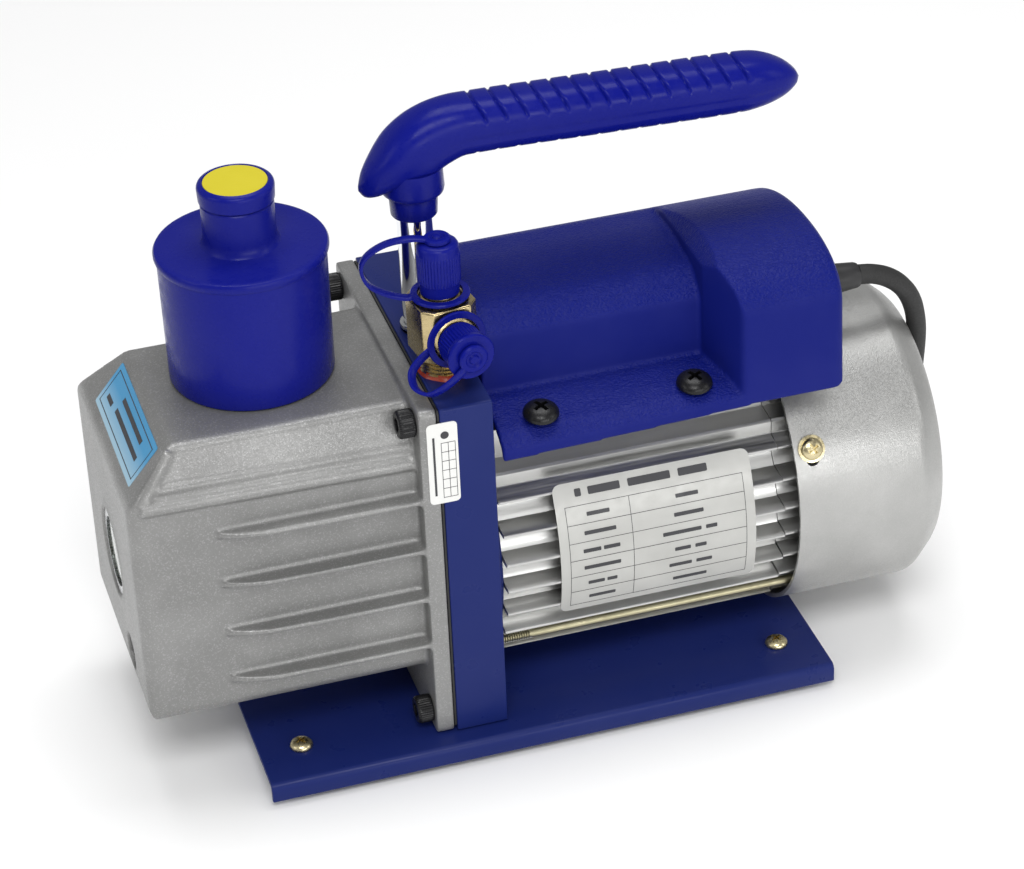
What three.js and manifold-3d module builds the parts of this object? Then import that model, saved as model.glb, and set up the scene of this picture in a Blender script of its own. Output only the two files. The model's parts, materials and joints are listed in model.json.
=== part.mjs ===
// Rotary vane vacuum pump: a direct-drive, two-stage, oil-sealed pump on a folded steel base.
// Millimetres, +Z up. +X runs along the shaft from the oil tank to the fan, -Y is the nameplate side.
// The origin is on the standing surface, under the middle of the pump.
import * as THREE from "three";
import { mergeVertices } from "three/addons/utils/BufferGeometryUtils.js";
import Module from "manifold-3d";

const wasm = await Module();
wasm.setup();

// ---------------------------------------------------------------- driving dimensions
const GAP = 0.3; // between neighbouring pieces
const SHAFT_Z = 70; // height of the shaft above the standing surface

const BASE = { left: -113.2, right: 102.4, halfWidth: 65.3, top: 10.5, lip: 7.5, sheet: 2 };
const FOOT = { x: [-97.4, 86.6], y: 45.8, radius: 8 };
const BRACKET = { left: -41.3, right: -22.3, halfWidth: 57, bottom: 10.8, top: 149, bossTo: -19.6 };
const FLANGE = { left: -49, right: -42.3, bottom: 11.2 };
const TANK = { left: -151, front: -50, back: 50, bottom: 36, top: 146.2, wall: 4 };
const TANK_BOLT = { y: 50, low: 19, high: 142, radius: 3 };
const GLASS = { y: 0, z: 79.5, radius: 16 };
const DRAIN = { y: -18, z: 47.5, radius: 4, headRadius: 6 };
const EXHAUST = { x: -94.6, y: -3, lidRadius: 30.5, footRadius: 29.2, height: 51, neckRadius: 12.8 };
const TEE = { x: -31.8, y: -30, turn: 0.134, portZ: 167, body: 21 };
const PORT_LENGTH = 10.6; // from the side of the tee's body to the face of its side port
const ROD = { x: -31.8, y: 0, radius: 6.5 };
const GRIP = { z: 226.5, droop: -0.022, height: 20.5, width: 21, left: -14, right: 92, tip: 111 };
const HOUSING = { left: -19.2, right: 104, bore: 44.5, wall: 47.6, finTip: 55.3, finPitch: 11.1,
  finShift: 1.3 };
const FAN_COVER = { left: 91.2, right: 151.4, radius: 58, wall: 1.6, round: 8 };
const COVER = { left: -19.2, step: 67, right: 107.6, bottom: 126.2, halfWidth: 57, archHalf: 33,
  backHalf: 40 };
const SWITCH = { y: 16, z: 147, pivot: -1.5 }; // pivot: from the face of the cover to the rocker's axis
const SHAFT = { radius: 6, left: -97, right: 134 };
const CORD = { radius: 3.75 };

// ---------------------------------------------------------------- solids and meshes
const colours = {
  bluePlastic: [0x1523b0, 0.35, 0],
  blueTexture: [0x16218f, 0.6, 0],
  bluePaint: [0x1c2a78, 0.4, 0.1],
  silverPaint: [0xa5a5a2, 0.45, 0.6],
  aluminium: [0xb4b8b8, 0.35, 0.9],
  castIron: [0x55585c, 0.6, 0.7],
  steel: [0x9a9ea2, 0.35, 0.9],
  chrome: [0xd8dade, 0.08, 1],
  zinc: [0xb9a468, 0.35, 0.9],
  blackSteel: [0x17181a, 0.45, 0.5],
  brass: [0xc9a24e, 0.3, 0.9],
  rubber: [0x161616, 0.8, 0],
  gasket: [0x1d1d1f, 0.9, 0],
  blackPlastic: [0x1a1a1b, 0.5, 0],
  glass: [0xd9e2dc, 0.1, 0],
  copper: [0x9a5a34, 0.5, 0.7],
  filter: [0xd8d2bd, 0.95, 0],
};

const material = (key) => {
  const [color, roughness, metalness] = colours[key];
  return new THREE.MeshStandardMaterial({ color, roughness, metalness });
};

const pump = new THREE.Group();

// Turns a three.js geometry into a welded, outward-facing solid.
function solid(geometry) {
  const bare = geometry.clone();
  for (const attribute of ["normal", "uv"]) bare.deleteAttribute(attribute);
  const welded = mergeVertices(bare, 1e-4);
  const points = welded.attributes.position.array;
  const corners = Array.from(welded.index.array);
  const kept = [];
  let volume = 0;
  const corner = (i) => new THREE.Vector3().fromArray(points, 3 * i);
  for (let i = 0; i < corners.length; i += 3) {
    const [a, b, c] = corners.slice(i, i + 3);
    if (a === b || b === c || a === c) continue;
    kept.push(a, b, c);
    volume += corner(a).dot(corner(b).cross(corner(c)));
  }
  if (volume < 0) kept.reverse();
  const mesh = new wasm.Mesh({
    numProp: 3,
    vertProperties: Float32Array.from(points),
    triVerts: Uint32Array.from(kept),
  });
  return new wasm.Manifold(mesh);
}

const join = (first, ...others) => others.reduce((sum, part) => sum.add(part), first);
const cut = (first, ...others) => others.reduce((rest, part) => rest.subtract(part), first);

// Adds a named node to the pump, or to a nested group.
function addPart(name, manifold, finish, parent = pump) {
  const { vertProperties, triVerts } = manifold.getMesh();
  const geometry = new THREE.BufferGeometry();
  geometry.setAttribute("position", new THREE.BufferAttribute(vertProperties, 3));
  geometry.setIndex(new THREE.BufferAttribute(triVerts, 1));
  geometry.computeVertexNormals();
  const mesh = new THREE.Mesh(geometry, material(finish));
  mesh.name = name;
  parent.add(mesh);
  return mesh;
}

function groupAt(x, y, z) {
  const group = new THREE.Group();
  group.position.set(x, y, z);
  pump.add(group);
  return group;
}

// ---------------------------------------------------------------- shape helpers
const basis = {
  x: new THREE.Matrix4().makeBasis(new THREE.Vector3(0, 1, 0), new THREE.Vector3(0, 0, 1),
    new THREE.Vector3(1, 0, 0)),
  y: new THREE.Matrix4().makeBasis(new THREE.Vector3(0, 0, 1), new THREE.Vector3(1, 0, 0),
    new THREE.Vector3(0, 1, 0)),
  z: new THREE.Matrix4(),
};

function block(x0, x1, y0, y1, z0, z1) {
  const box = new THREE.BoxGeometry(x1 - x0, y1 - y0, z1 - z0);
  return solid(box.translate((x0 + x1) / 2, (y0 + y1) / 2, (z0 + z1) / 2));
}

// Extrudes a shape along an axis; for x the shape lies in (y, z), for y in (z, x), for z in (x, y).
function prism(shape, axis, from, to, curveSegments = 6) {
  const extruded = new THREE.ExtrudeGeometry(shape, { depth: to - from, bevelEnabled: false,
    curveSegments });
  return solid(extruded.translate(0, 0, from).applyMatrix4(basis[axis]));
}

// Turns a closed (radius, along) outline about an axis through the origin of the piece.
function turned(outline, axis, segments = 24) {
  const points = outline.map(([radius, along]) => new THREE.Vector2(radius, along));
  const lathe = new THREE.LatheGeometry(points, segments).rotateX(Math.PI / 2);
  return solid(lathe.applyMatrix4(basis[axis]));
}

const cylinder = (axis, radius, from, to, segments = 24) =>
  turned([[0, from], [radius, from], [radius, to], [0, to]], axis, segments);

const ring = (axis, inner, outer, from, to, segments = 32) =>
  turned([[inner, from], [outer, from], [outer, to], [inner, to], [inner, from]], axis, segments);

function roundedRectangle(x0, x1, y0, y1, radius) {
  const shape = new THREE.Shape();
  shape.moveTo(x0 + radius, y0).lineTo(x1 - radius, y0).absarc(x1 - radius, y0 + radius, radius,
    -Math.PI / 2, 0);
  shape.lineTo(x1, y1 - radius).absarc(x1 - radius, y1 - radius, radius, 0, Math.PI / 2);
  shape.lineTo(x0 + radius, y1).absarc(x0 + radius, y1 - radius, radius, Math.PI / 2, Math.PI);
  shape.lineTo(x0, y0 + radius).absarc(x0 + radius, y0 + radius, radius, Math.PI, 1.5 * Math.PI);
  return shape;
}

const outline = (...points) => new THREE.Shape(points.map(([u, v]) => new THREE.Vector2(u, v)));
const vectors = (points) => points.map((point) => new THREE.Vector3(...point));

// Sweeps a section along a smooth curve through the points.
function swept(section, points, steps) {
  const extrudePath = new THREE.CatmullRomCurve3(vectors(points), false, "centripetal");
  return solid(new THREE.ExtrudeGeometry(section, { steps, extrudePath, bevelEnabled: false }));
}

const polygon = (radius, sides) =>
  outline(...Array.from({ length: sides }, (_, i) => {
    const angle = (2 * Math.PI * (i + 0.5)) / sides;
    return [radius * Math.cos(angle), radius * Math.sin(angle)];
  }));

// ---------------------------------------------------------------- base, feet and bracket
function makeBase() {
  const { left, right, halfWidth, top, lip, sheet } = BASE;
  const section = outline(
    [-halfWidth, top - lip], [-halfWidth + sheet, top - lip], [-halfWidth + sheet, top - sheet],
    [halfWidth - sheet, top - sheet], [halfWidth - sheet, top - lip], [halfWidth, top - lip],
    [halfWidth, top], [-halfWidth, top],
  );
  let base = prism(section, "x", left, right);
  let number = 1;
  for (const x of FOOT.x) {
    for (const y of [-FOOT.y, FOOT.y]) {
      base = base.subtract(cylinder("z", 2.6, top - 4, top + 1, 12).translate([x, y, 0]));
      const place = groupAt(x, y, 0);
      const footTop = top - sheet - GAP;
      const foot = turned(
        [[2.6, 3], [2.6, 0], [FOOT.radius - 1.5, 0], [FOOT.radius, 1.5], [FOOT.radius, footTop], [2.6,
          footTop], [2.6, 3]],
        "z", 16,
      );
      addPart(`rubber_foot_${number}`, foot, "rubber", place);
      const screw = turned(
        [[0, 3], [2.1, 3], [2.1, top + GAP], [4.3, top + GAP], [4.1, top + 1.6], [2.6, top + 2.7], [0,
          top + 3]],
        "z", 12,
      );
      addPart(`foot_screw_${number}`, screw, "zinc", place);
      number += 1;
    }
  }
  addPart("base_plate", base, "bluePaint");
}

function makeBracket() {
  const { left, right, halfWidth, bottom, top, bossTo } = BRACKET;
  const plate = prism(roundedRectangle(-halfWidth, halfWidth, bottom, top, 1.2), "x", left, right, 3);
  const boss = ring("x", 45, 51, right - 1, bossTo, 40).translate([0, 0, SHAFT_Z]);
  const shaftBore = cylinder("x", 13, left - 1, right + 5, 24).translate([0, 0, SHAFT_Z]);
  const cuts = [shaftBore];
  for (const y of [-TANK_BOLT.y, TANK_BOLT.y]) {
    for (const z of [TANK_BOLT.low, TANK_BOLT.high]) {
      cuts.push(cylinder("x", TANK_BOLT.radius + GAP, left - 1, left + 11, 12).translate([0, y, z]));
    }
  }
  cuts.push(cylinder("z", 7.8, top - 9, top + 1, 20).translate([TEE.x, TEE.y, 0]));
  cuts.push(cylinder("z", ROD.radius + GAP, top - 15, top + 1, 16).translate([ROD.x, ROD.y, 0]));
  addPart("support_bracket", cut(join(plate, boss), ...cuts), "bluePaint");
}

// ---------------------------------------------------------------- oil tank and its fittings
// Cross-section of the tank box in (y, z), grown or shrunk by an inset.
function tankSection(inset) {
  const { front, back, bottom, top } = TANK;
  const points = [
    [front + inset + 6, bottom + inset], [front + inset + 1.5, bottom + inset + 2], [front + inset,
      bottom + inset + 6],
    [front + inset, 128 - inset * 0.6], [-43.5 + inset * 0.8, top - inset], [25 - inset * 0.6, top - inset],
    [back - inset, 118 - inset * 0.6], [back - inset, bottom + inset + 6],
    [back - inset - 1.5, bottom + inset + 2], [back - inset - 6, bottom + inset],
  ];
  return outline(...points);
}

// A box with its upper left edge sloped, as the end of the tank is.
function tankBody(inset, left, right) {
  const body = prism(tankSection(inset), "x", left, right);
  const slope = outline(
    [127 - inset * 0.4, left - 1], [127 - inset * 0.4, left], [TANK.top - inset, left + 17], [TANK.top + 9,
      left + 17],
    [TANK.top + 9, left - 1],
  );
  return body.subtract(prism(slope, "y", -90, 90));
}

// A blade-shaped rib that starts flush with the wall and widens to the flange; side is -1 for the front.
function tankRib(z, side) {
  const wall = Math.abs(TANK.front);
  const blade = new THREE.Shape();
  blade.moveTo(-122, side * (wall - 1)).quadraticCurveTo(-116, side * (wall + 6), -101,
    side * (wall + 6.6));
  blade.lineTo(FLANGE.left + 1, side * (wall + 7)).lineTo(FLANGE.left + 1, side * (wall - 1));
  return prism(blade, "z", z - 1.3, z + 1.3, 5);
}

function makeTank() {
  const { left, wall } = TANK;
  const outer = tankBody(0, left, FLANGE.left + 2);
  const flange = prism(
    roundedRectangle(-BRACKET.halfWidth, BRACKET.halfWidth, FLANGE.bottom, BRACKET.top, 2), "x",
      FLANGE.left, FLANGE.right, 3,
  );
  const rim = ring("x", GLASS.radius - 1, GLASS.radius + 2.5, left + 1, left - 0.4, 24).translate([0,
    GLASS.y, GLASS.z]);
  const drainBoss = cylinder("x", 10, left + 1, left + 13, 20).translate([0, DRAIN.y, DRAIN.z]);
  const port = ring("z", 12.6, 17, TANK.top - 9, TANK.top - 1, 24).translate([EXHAUST.x, EXHAUST.y, 0]);
  const ribs = [];
  for (const z of [112, 91.4, 70.8, 50.4]) {
    ribs.push(tankRib(z, -1), tankRib(z, 1));
  }
  const cavity = tankBody(wall, left + wall, FLANGE.right + 1);
  const cuts = [
    cylinder("x", GLASS.radius - 2, left - 2, left + wall + 1, 24).translate([0, GLASS.y, GLASS.z]),
    cylinder("x", GLASS.radius, left - 2, left + 2, 24).translate([0, GLASS.y, GLASS.z]),
    cylinder("x", DRAIN.radius + GAP, left - 2, left + 14, 14).translate([0, DRAIN.y, DRAIN.z]),
    cylinder("x", DRAIN.headRadius + 0.5, left - 2, left + 6, 20).translate([0, DRAIN.y, DRAIN.z]),
    cylinder("z", 12.6, TANK.top - 12, TANK.top + 2, 24).translate([EXHAUST.x, EXHAUST.y, 0]),
  ];
  for (const y of [-TANK_BOLT.y, TANK_BOLT.y]) {
    for (const z of [TANK_BOLT.low, TANK_BOLT.high]) {
      cuts.push(cylinder("x", TANK_BOLT.radius + GAP, FLANGE.left - 1, FLANGE.right + 1, 12).translate([0,
        y, z]));
      cuts.push(cylinder("x", 5.4, FLANGE.left - 6.6, FLANGE.left, 16).translate([0, y, z]));
    }
  }
  const shell = join(outer, flange, rim, ...ribs).subtract(cavity);
  addPart("oil_tank", cut(join(shell, port, drainBoss), ...cuts), "silverPaint");

  const frame = roundedRectangle(-BRACKET.halfWidth + 0.6, BRACKET.halfWidth - 0.6, FLANGE.bottom + 1,
    BRACKET.top - 0.6, 2);
  let gasket = prism(frame, "x", FLANGE.right + 0.15, BRACKET.left - 0.15, 3).subtract(cavity);
  for (const y of [-TANK_BOLT.y, TANK_BOLT.y]) {
    for (const z of [TANK_BOLT.low, TANK_BOLT.high]) {
      gasket = gasket.subtract(cylinder("x", TANK_BOLT.radius + GAP, -44, -40, 12).translate([0, y, z]));
    }
  }
  addPart("tank_gasket", gasket, "gasket");
}

// A socket-head cap screw along x, its head to the left of the flange.
function makeTankScrews() {
  const head = cylinder("x", 5, -GAP, -6, 16);
  const socket = prism(polygon(2.9, 6), "x", -7, -3);
  const shank = cylinder("x", TANK_BOLT.radius, -1, 16, 12);
  const screw = join(head, shank).subtract(socket);
  let number = 1;
  for (const y of [-TANK_BOLT.y, TANK_BOLT.y]) {
    for (const z of [TANK_BOLT.low, TANK_BOLT.high]) {
      addPart(`tank_screw_${number}`, screw, "blackSteel", groupAt(FLANGE.left, y, z));
      number += 1;
    }
  }
}

function makeGlassAndDrain() {
  const lens = cylinder("x", GLASS.radius - GAP, 0, 1.6, 24);
  addPart("sight_glass", lens, "glass", groupAt(TANK.left + 0.3, GLASS.y, GLASS.z));
  const head = cylinder("x", DRAIN.headRadius, 1, 5.6, 20);
  const thread = cylinder("x", DRAIN.radius, 5, 12.5, 14);
  const socket = prism(polygon(3.2, 6), "x", 0, 4);
  addPart("drain_plug", join(head, thread).subtract(socket), "blackSteel", groupAt(TANK.left, DRAIN.y,
    DRAIN.z));
}

// ---------------------------------------------------------------- exhaust mist filter
function makeExhaust() {
  const place = groupAt(EXHAUST.x, EXHAUST.y, TANK.top + GAP);
  const { lidRadius, footRadius, height, neckRadius } = EXHAUST;
  const wall = 2;
  const lidAt = height - 3;
  const housing = turned(
    [
      [8, -8], [12, -8], [12, 0], [footRadius, 0], [lidRadius - 0.5, lidAt], [lidRadius - 0.5 - wall,
        lidAt],
      [footRadius - wall, wall], [8, wall], [8, -8],
    ],
    "z", 40,
  );
  addPart("exhaust_housing", housing, "bluePlastic", place);
  const lid = turned(
    [
      [neckRadius - wall, lidAt + 1], [lidRadius - 3.2, lidAt + 1], [lidRadius - 3.2, lidAt - 4],
        [lidRadius - 2.8, lidAt + GAP],
      [lidRadius, lidAt + GAP], [lidRadius, height], [neckRadius, height], [neckRadius, height + 17],
      [neckRadius - wall, height + 17], [neckRadius - wall, lidAt + 1],
    ],
    "z", 40,
  );
  addPart("exhaust_lid", lid, "bluePlastic", place);
  const element = ring("z", 11, 25, wall + 1, lidAt - 2, 24);
  addPart("exhaust_filter", element, "filter", place);
  const plug = neckRadius - wall - GAP;
  const capBottom = height + 17 + GAP;
  const cap = turned(
    [
      [plug - 1.5, capBottom - 9], [plug, capBottom - 9], [plug, capBottom], [14, capBottom], [14.2,
        capBottom + 4.5],
      [13, capBottom + 6.6], [0, capBottom + 7], [0, capBottom + 4.5], [plug - 1.5, capBottom + 4.5],
        [plug - 1.5, capBottom - 9],
    ],
    "z", 28,
  );
  addPart("exhaust_cap", cap, "bluePlastic", place);
}

// ---------------------------------------------------------------- inlet tee, its caps and tethers
const TEE_DIRECTION = new THREE.Vector3(TEE.turn, -1, 0).normalize();

function makeInlet() {
  const half = TEE.body / 2;
  const place = groupAt(TEE.x, TEE.y, 0);
  place.rotation.z = Math.atan(TEE.turn);
  const corner = 3.5;
  const bodySection = outline(
    [-half + corner, -half], [half - corner, -half], [half, -half + corner], [half, half - corner],
    [half - corner, half], [-half + corner, half], [-half, half - corner], [-half, -half + corner],
  );
  const body = prism(bodySection, "z", 156, 177.6);
  const thread = cylinder("z", 7.4, BRACKET.top - 7, 157, 20);
  const topPort = join(cylinder("z", 5.6, 177, 192, 16), cylinder("z", 7.6, 177, 178.2, 16));
  const sidePort = join(cylinder("y", 6.6, -half - PORT_LENGTH, -half + 1, 16), cylinder("y", 8,
    -half - 1.4, -half + 1, 16));
  const bores = [
    cylinder("z", 3.6, BRACKET.top - 8, 193, 12),
    cylinder("y", 4.4, -half - PORT_LENGTH - 1, 0, 12).translate([0, 0, TEE.portZ]),
  ];
  const tee = cut(join(body, thread, topPort, sidePort.translate([0, 0, TEE.portZ])), ...bores);
  addPart("inlet_tee", tee, "brass", place);

  const topCap = turned(
    [[5.9, 180.2], [7.3, 180.2], [7.3, 184], [8.3, 184.6], [8.3, 197.6], [7, 199.2], [0, 199.5], [0, 195],
      [5.9, 195], [5.9, 180.2]],
    "z", 20,
  );
  addPart("top_port_cap", topCap, "bluePlastic", place);

  const sidePlace = new THREE.Group();
  sidePlace.position.z = TEE.portZ;
  place.add(sidePlace);
  const from = -half - 3.2;
  const sideCap = turned(
    [[6.9, from], [7.8, from], [7.8, from - 2], [8.6, from - 2.5], [8.6, from - 11], [7.4, from - 12.4],
      [0, from - 12.7],
      [0, from - 10], [6.9, from - 10], [6.9, from]],
    "y", 20,
  );
  addPart("side_port_cap", sideCap, "bluePlastic", sidePlace);
}

// A strap loop with a ring around the port and a button on the cap, as one moulding.
function makeTethers() {
  const strap = outline([-0.6, -1.9], [0.6, -1.9], [0.6, 1.9], [-0.6, 1.9]);
  const topRing = ring("z", 8, 10.4, 178.5, 179.9, 20).translate([TEE.x, TEE.y, 0]);
  const topButton = cylinder("z", 4.6, 199.8, 202.2, 16).translate([TEE.x, TEE.y, 0]);
  const topLoop = swept(strap, [
    [TEE.x - 1, TEE.y, 201.1], [TEE.x - 8, TEE.y + 1.5, 201.4], [TEE.x - 19, TEE.y + 4.5, 198.6],
    [TEE.x - 26, TEE.y + 7, 190], [TEE.x - 21.5, TEE.y + 4.5, 181.8], [TEE.x - 14.5, TEE.y + 2, 179.4],
    [TEE.x - 9.4, TEE.y + 0.5, 179.2],
  ], 20);
  addPart("top_cap_tether", join(topRing, topButton, topLoop), "bluePlastic");

  const along = (distance) => [TEE.x + TEE_DIRECTION.x * distance, TEE.y + TEE_DIRECTION.y * distance];
  const half = TEE.body / 2;
  const turn = Math.atan(TEE.turn);
  const sideRing = ring("y", 8.3, 10.6, -half - 2.9, -half - 1.7, 20);
  const sideButton = cylinder("y", 4.8, -half - 18.4, -half - 16.3, 16);
  const fittings = join(sideRing, sideButton).translate([0, 0, TEE.portZ]).rotate([0, 0,
    THREE.MathUtils.radToDeg(turn)]);
  const [buttonX, buttonY] = along(half + 18.4);
  const [ringX, ringY] = along(half + 2.3);
  const sideLoop = swept(strap, [
    [buttonX - 1, buttonY, TEE.portZ], [buttonX - 8, buttonY - 0.2, TEE.portZ - 4.5],
    [buttonX - 14.5, buttonY + 2, TEE.portZ - 12], [buttonX - 18.5, buttonY + 6, TEE.portZ - 13.6],
    [ringX - 15.6, ringY - 5, TEE.portZ - 9], [ringX - 11.6, ringY - 1, TEE.portZ - 4], [ringX - 9.3,
      ringY, TEE.portZ - 2],
  ], 20);
  addPart("side_cap_tether", join(fittings.translate([TEE.x, TEE.y, 0]), sideLoop), "bluePlastic");
}

// ---------------------------------------------------------------- carrying handle
function makeHandle() {
  const rod = cylinder("z", ROD.radius, BRACKET.top - 14, 214, 20).translate([ROD.x, ROD.y, 0]);
  addPart("handle_rod", rod, "chrome");

  const lift = (x) => GRIP.z + GRIP.droop * (x - GRIP.left);
  const halfHeight = GRIP.height / 2;
  const side = new THREE.Shape();
  side.moveTo(-51, 207.4).quadraticCurveTo(-46.5, 226, -33, 232.6);
  side.quadraticCurveTo(-22, 237.4, GRIP.left, lift(GRIP.left) + halfHeight);
  side.lineTo(GRIP.right, lift(GRIP.right) + halfHeight);
  side.quadraticCurveTo(GRIP.tip - 5, lift(GRIP.tip) + 6, GRIP.tip, lift(GRIP.tip) - 1);
  side.quadraticCurveTo(GRIP.tip - 5, lift(GRIP.tip) - 7, GRIP.right, lift(GRIP.right) - halfHeight);
  side.lineTo(GRIP.left, lift(GRIP.left) - halfHeight).quadraticCurveTo(-21, 214.8, -24, 209);
  side.lineTo(-43, 209).quadraticCurveTo(-45, 206, -49, 206);
  const profile = prism(swapped(side, 6), "y", -GRIP.width / 2, GRIP.width / 2, 6);
  // Rounds the grip seen from above: a capsule that narrows to the tip.
  const plan = new THREE.Shape();
  plan.moveTo(-52, 0).quadraticCurveTo(-51, -GRIP.width / 2, -36, -GRIP.width / 2).lineTo(GRIP.right,
    -GRIP.width / 2);
  plan.quadraticCurveTo(GRIP.tip - 2, -GRIP.width / 2 + 2, GRIP.tip + 1, 0);
  plan.quadraticCurveTo(GRIP.tip - 2, GRIP.width / 2 - 2, GRIP.right, GRIP.width / 2).lineTo(-36,
    GRIP.width / 2);
  plan.quadraticCurveTo(-51, GRIP.width / 2, -52, 0);
  const fromAbove = prism(plan, "z", 195, 245, 5);
  // Rounds the section: an eight-sided tunnel along x.
  const half = GRIP.width / 2;
  const section = outline(
    [-half, 190], [half, 190], [half, lift(40) + 4], [half - 4.5, lift(40) + 11.5], [-half + 4.5,
      lift(40) + 11.5], [-half, lift(40) + 4],
  );
  const tunnel = prism(section, "x", -60, 120);
  const socket = join(
    cylinder("z", 10.8, 203, 216, 24),
    cylinder("z", 8.2, 195.4, 204, 24),
  ).translate([ROD.x, ROD.y, 0]);
  const bore = cylinder("z", ROD.radius + GAP, 190, 214.6, 20).translate([ROD.x, ROD.y, 0]);
  const grip = join(profile.intersect(fromAbove).intersect(tunnel), socket).subtract(bore);
  addPart("handle_grip", grip, "bluePlastic");
}

// Swaps a shape's two coordinates, because a prism along y takes its shape in (z, x).
function swapped(shape, divisions) {
  return new THREE.Shape(shape.getPoints(divisions).map((point) => new THREE.Vector2(point.y, point.x)));
}

// ---------------------------------------------------------------- pump module inside the tank
const STAGE = { offset: 3, bore: 22.4, rotor: 19, slot: 3.4, vane: 2.8 };
const MODULE = { high: [-41.6, -66], middle: [-66.3, -72.3], low: [-72.6, -84.6], cover: [-84.9, -91] };

function pumpPlate(radius, from, to, hole, offset) {
  const plate = cylinder("x", radius, to, from, 28);
  const opening = cylinder("x", hole, to - 1, from + 1, 28).translate([0, 0, offset]);
  return plate.subtract(opening).translate([0, 0, SHAFT_Z]);
}

function vanePump(prefix, from, to) {
  const rotor = cylinder("x", STAGE.rotor, to + GAP, from - GAP, 28);
  const slot = block(to - 1, from + 1, -STAGE.slot / 2, STAGE.slot / 2, SHAFT.radius + 2, STAGE.rotor + 1);
  const bore = cylinder("x", SHAFT.radius + 0.1, to - 1, from + 1, 20);
  const vaneHeight = [SHAFT.radius + 2.5, STAGE.rotor - 0.5];
  const place = groupAt(0, 0, SHAFT_Z);
  const body = cut(rotor, slot, slot.rotate([180, 0, 0]), bore);
  addPart(`${prefix}_stage_rotor`, body, "steel", place);
  for (const [number, angle] of [[1, 0], [2, 180]]) {
    const vane = block(to + 0.6, from - 0.6, -STAGE.vane / 2, STAGE.vane / 2, ...vaneHeight);
    addPart(`${prefix}_stage_vane_${number}`, vane.rotate([angle, 0, 0]), "castIron", place);
  }
}

function makePumpModule() {
  addPart("high_stage_stator", pumpPlate(30, ...MODULE.high, STAGE.bore, STAGE.offset), "castIron");
  addPart("middle_plate", pumpPlate(30, ...MODULE.middle, SHAFT.radius + GAP, 0), "castIron");
  addPart("low_stage_stator", pumpPlate(30, ...MODULE.low, STAGE.bore, STAGE.offset), "castIron");
  addPart("pump_end_cover", pumpPlate(28, ...MODULE.cover, SHAFT.radius + GAP, 0), "castIron");
  vanePump("high", ...MODULE.high);
  vanePump("low", ...MODULE.low);
  const seal = ring("x", SHAFT.radius + GAP, 12.7, -34, -27, 20).translate([0, 0, SHAFT_Z]);
  addPart("shaft_seal", seal, "rubber");
}

// ---------------------------------------------------------------- motor
function makeMotor() {
  const { left, right, bore, wall, finTip, finPitch, finShift } = HOUSING;
  const tube = cylinder("x", wall, left, right, 48);
  const envelope = cylinder("x", finTip, left, right, 48);
  const fins = [];
  for (const step of [-3.5, -2.5, -1.5, -0.5, 0.5, 1.5, 2.5, 3.5]) {
    const z = finShift + step * finPitch;
    fins.push(block(left, right, -60, 60, z - 0.9, z + 0.9));
  }
  const seat = block(left, COVER.right - 20, -30, 30, 40, 60);
  const body = join(tube, join(fins[0], ...fins.slice(1), seat).intersect(envelope));
  const hollow = cylinder("x", bore, left - 1, right + 1, 48);
  addPart("motor_housing", body.subtract(hollow).translate([0, 0, SHAFT_Z]), "aluminium");

  const place = groupAt(0, 0, SHAFT_Z);
  addPart("stator_core", ring("x", 26, bore - GAP, 12, 62, 32), "castIron", place);
  addPart("rotor_core", ring("x", SHAFT.radius + 0.1, 25.2, 13, 61, 28), "steel", place);
  addPart("main_shaft", cylinder("x", SHAFT.radius, SHAFT.left + 3, SHAFT.right, 20), "steel", place);
  addPart("front_bearing", ring("x", SHAFT.radius + GAP, 16, -21.6, -12.6, 24), "steel", place);
  addPart("rear_bearing", ring("x", SHAFT.radius + GAP, 14, 96, 104.6, 24), "steel", place);

  const bellDisc = ring("x", 14 + GAP, 52, right + GAP, right + 4, 40);
  const bellHub = ring("x", 14 + GAP, 19, 95, right + 4, 24);
  const bellLip = ring("x", 40, bore - GAP, right - 5, right + 1, 40);
  addPart("rear_end_bell", join(bellDisc, bellHub, bellLip), "aluminium", place);

  const hub = ring("x", SHAFT.radius + 0.1, 12, 114, 130, 20);
  const backPlate = ring("x", 11, 30, 114, 116, 24);
  const blades = [];
  for (let i = 0; i < 8; i += 1) {
    const blade = block(114.5, 131, -1, 1, 11, 48).rotate([45 * i, 0, 0]);
    blades.push(blade);
  }
  addPart("cooling_fan", join(hub, backPlate, ...blades), "blackPlastic", place);
}

function makeFanCover() {
  const { left, right, radius, wall, round } = FAN_COVER;
  const rounding = (r, at) => [
    [r, at - round], [r - round * 0.12, at - round * 0.5], [r - round * 0.5, at - round * 0.12],
      [r - round, at],
  ];
  const inner = rounding(radius - wall, right - wall).reverse();
  const cup = turned(
    [[0, right], [0, right - wall], ...inner, [radius - wall, left], [radius, left], ...rounding(radius,
      right), [0, right]],
    "x", 56,
  );
  const slots = [];
  for (let i = 0; i < 12; i += 1) {
    slots.push(block(right - 4, right + 1, -1.8, 1.8, 17, 42).rotate([30 * i, 0, 0]));
  }
  const screwHole = cylinder("y", 2.6, -70, -40, 12).translate([97.8, 0, 28]);
  const cover = cut(cup, ...slots, screwHole);
  addPart("fan_cover", cover, "silverPaint", groupAt(0, 0, SHAFT_Z));

  const screw = turned([[0, -1.2], [4.3, -1.2], [4, 0.6], [2.4, 1.7], [0, 2]], "y", 14).rotate([180, 0, 0]);
  const shank = cylinder("y", 2.2, 0, 4.5, 10);
  const place = groupAt(97.8, -51.4, SHAFT_Z + 28.4);
  place.rotation.x = -Math.atan2(28.4, 51.4);
  addPart("fan_cover_screw", join(screw, shank).translate([0, -2.6, 0]), "zinc", place);
}

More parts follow.
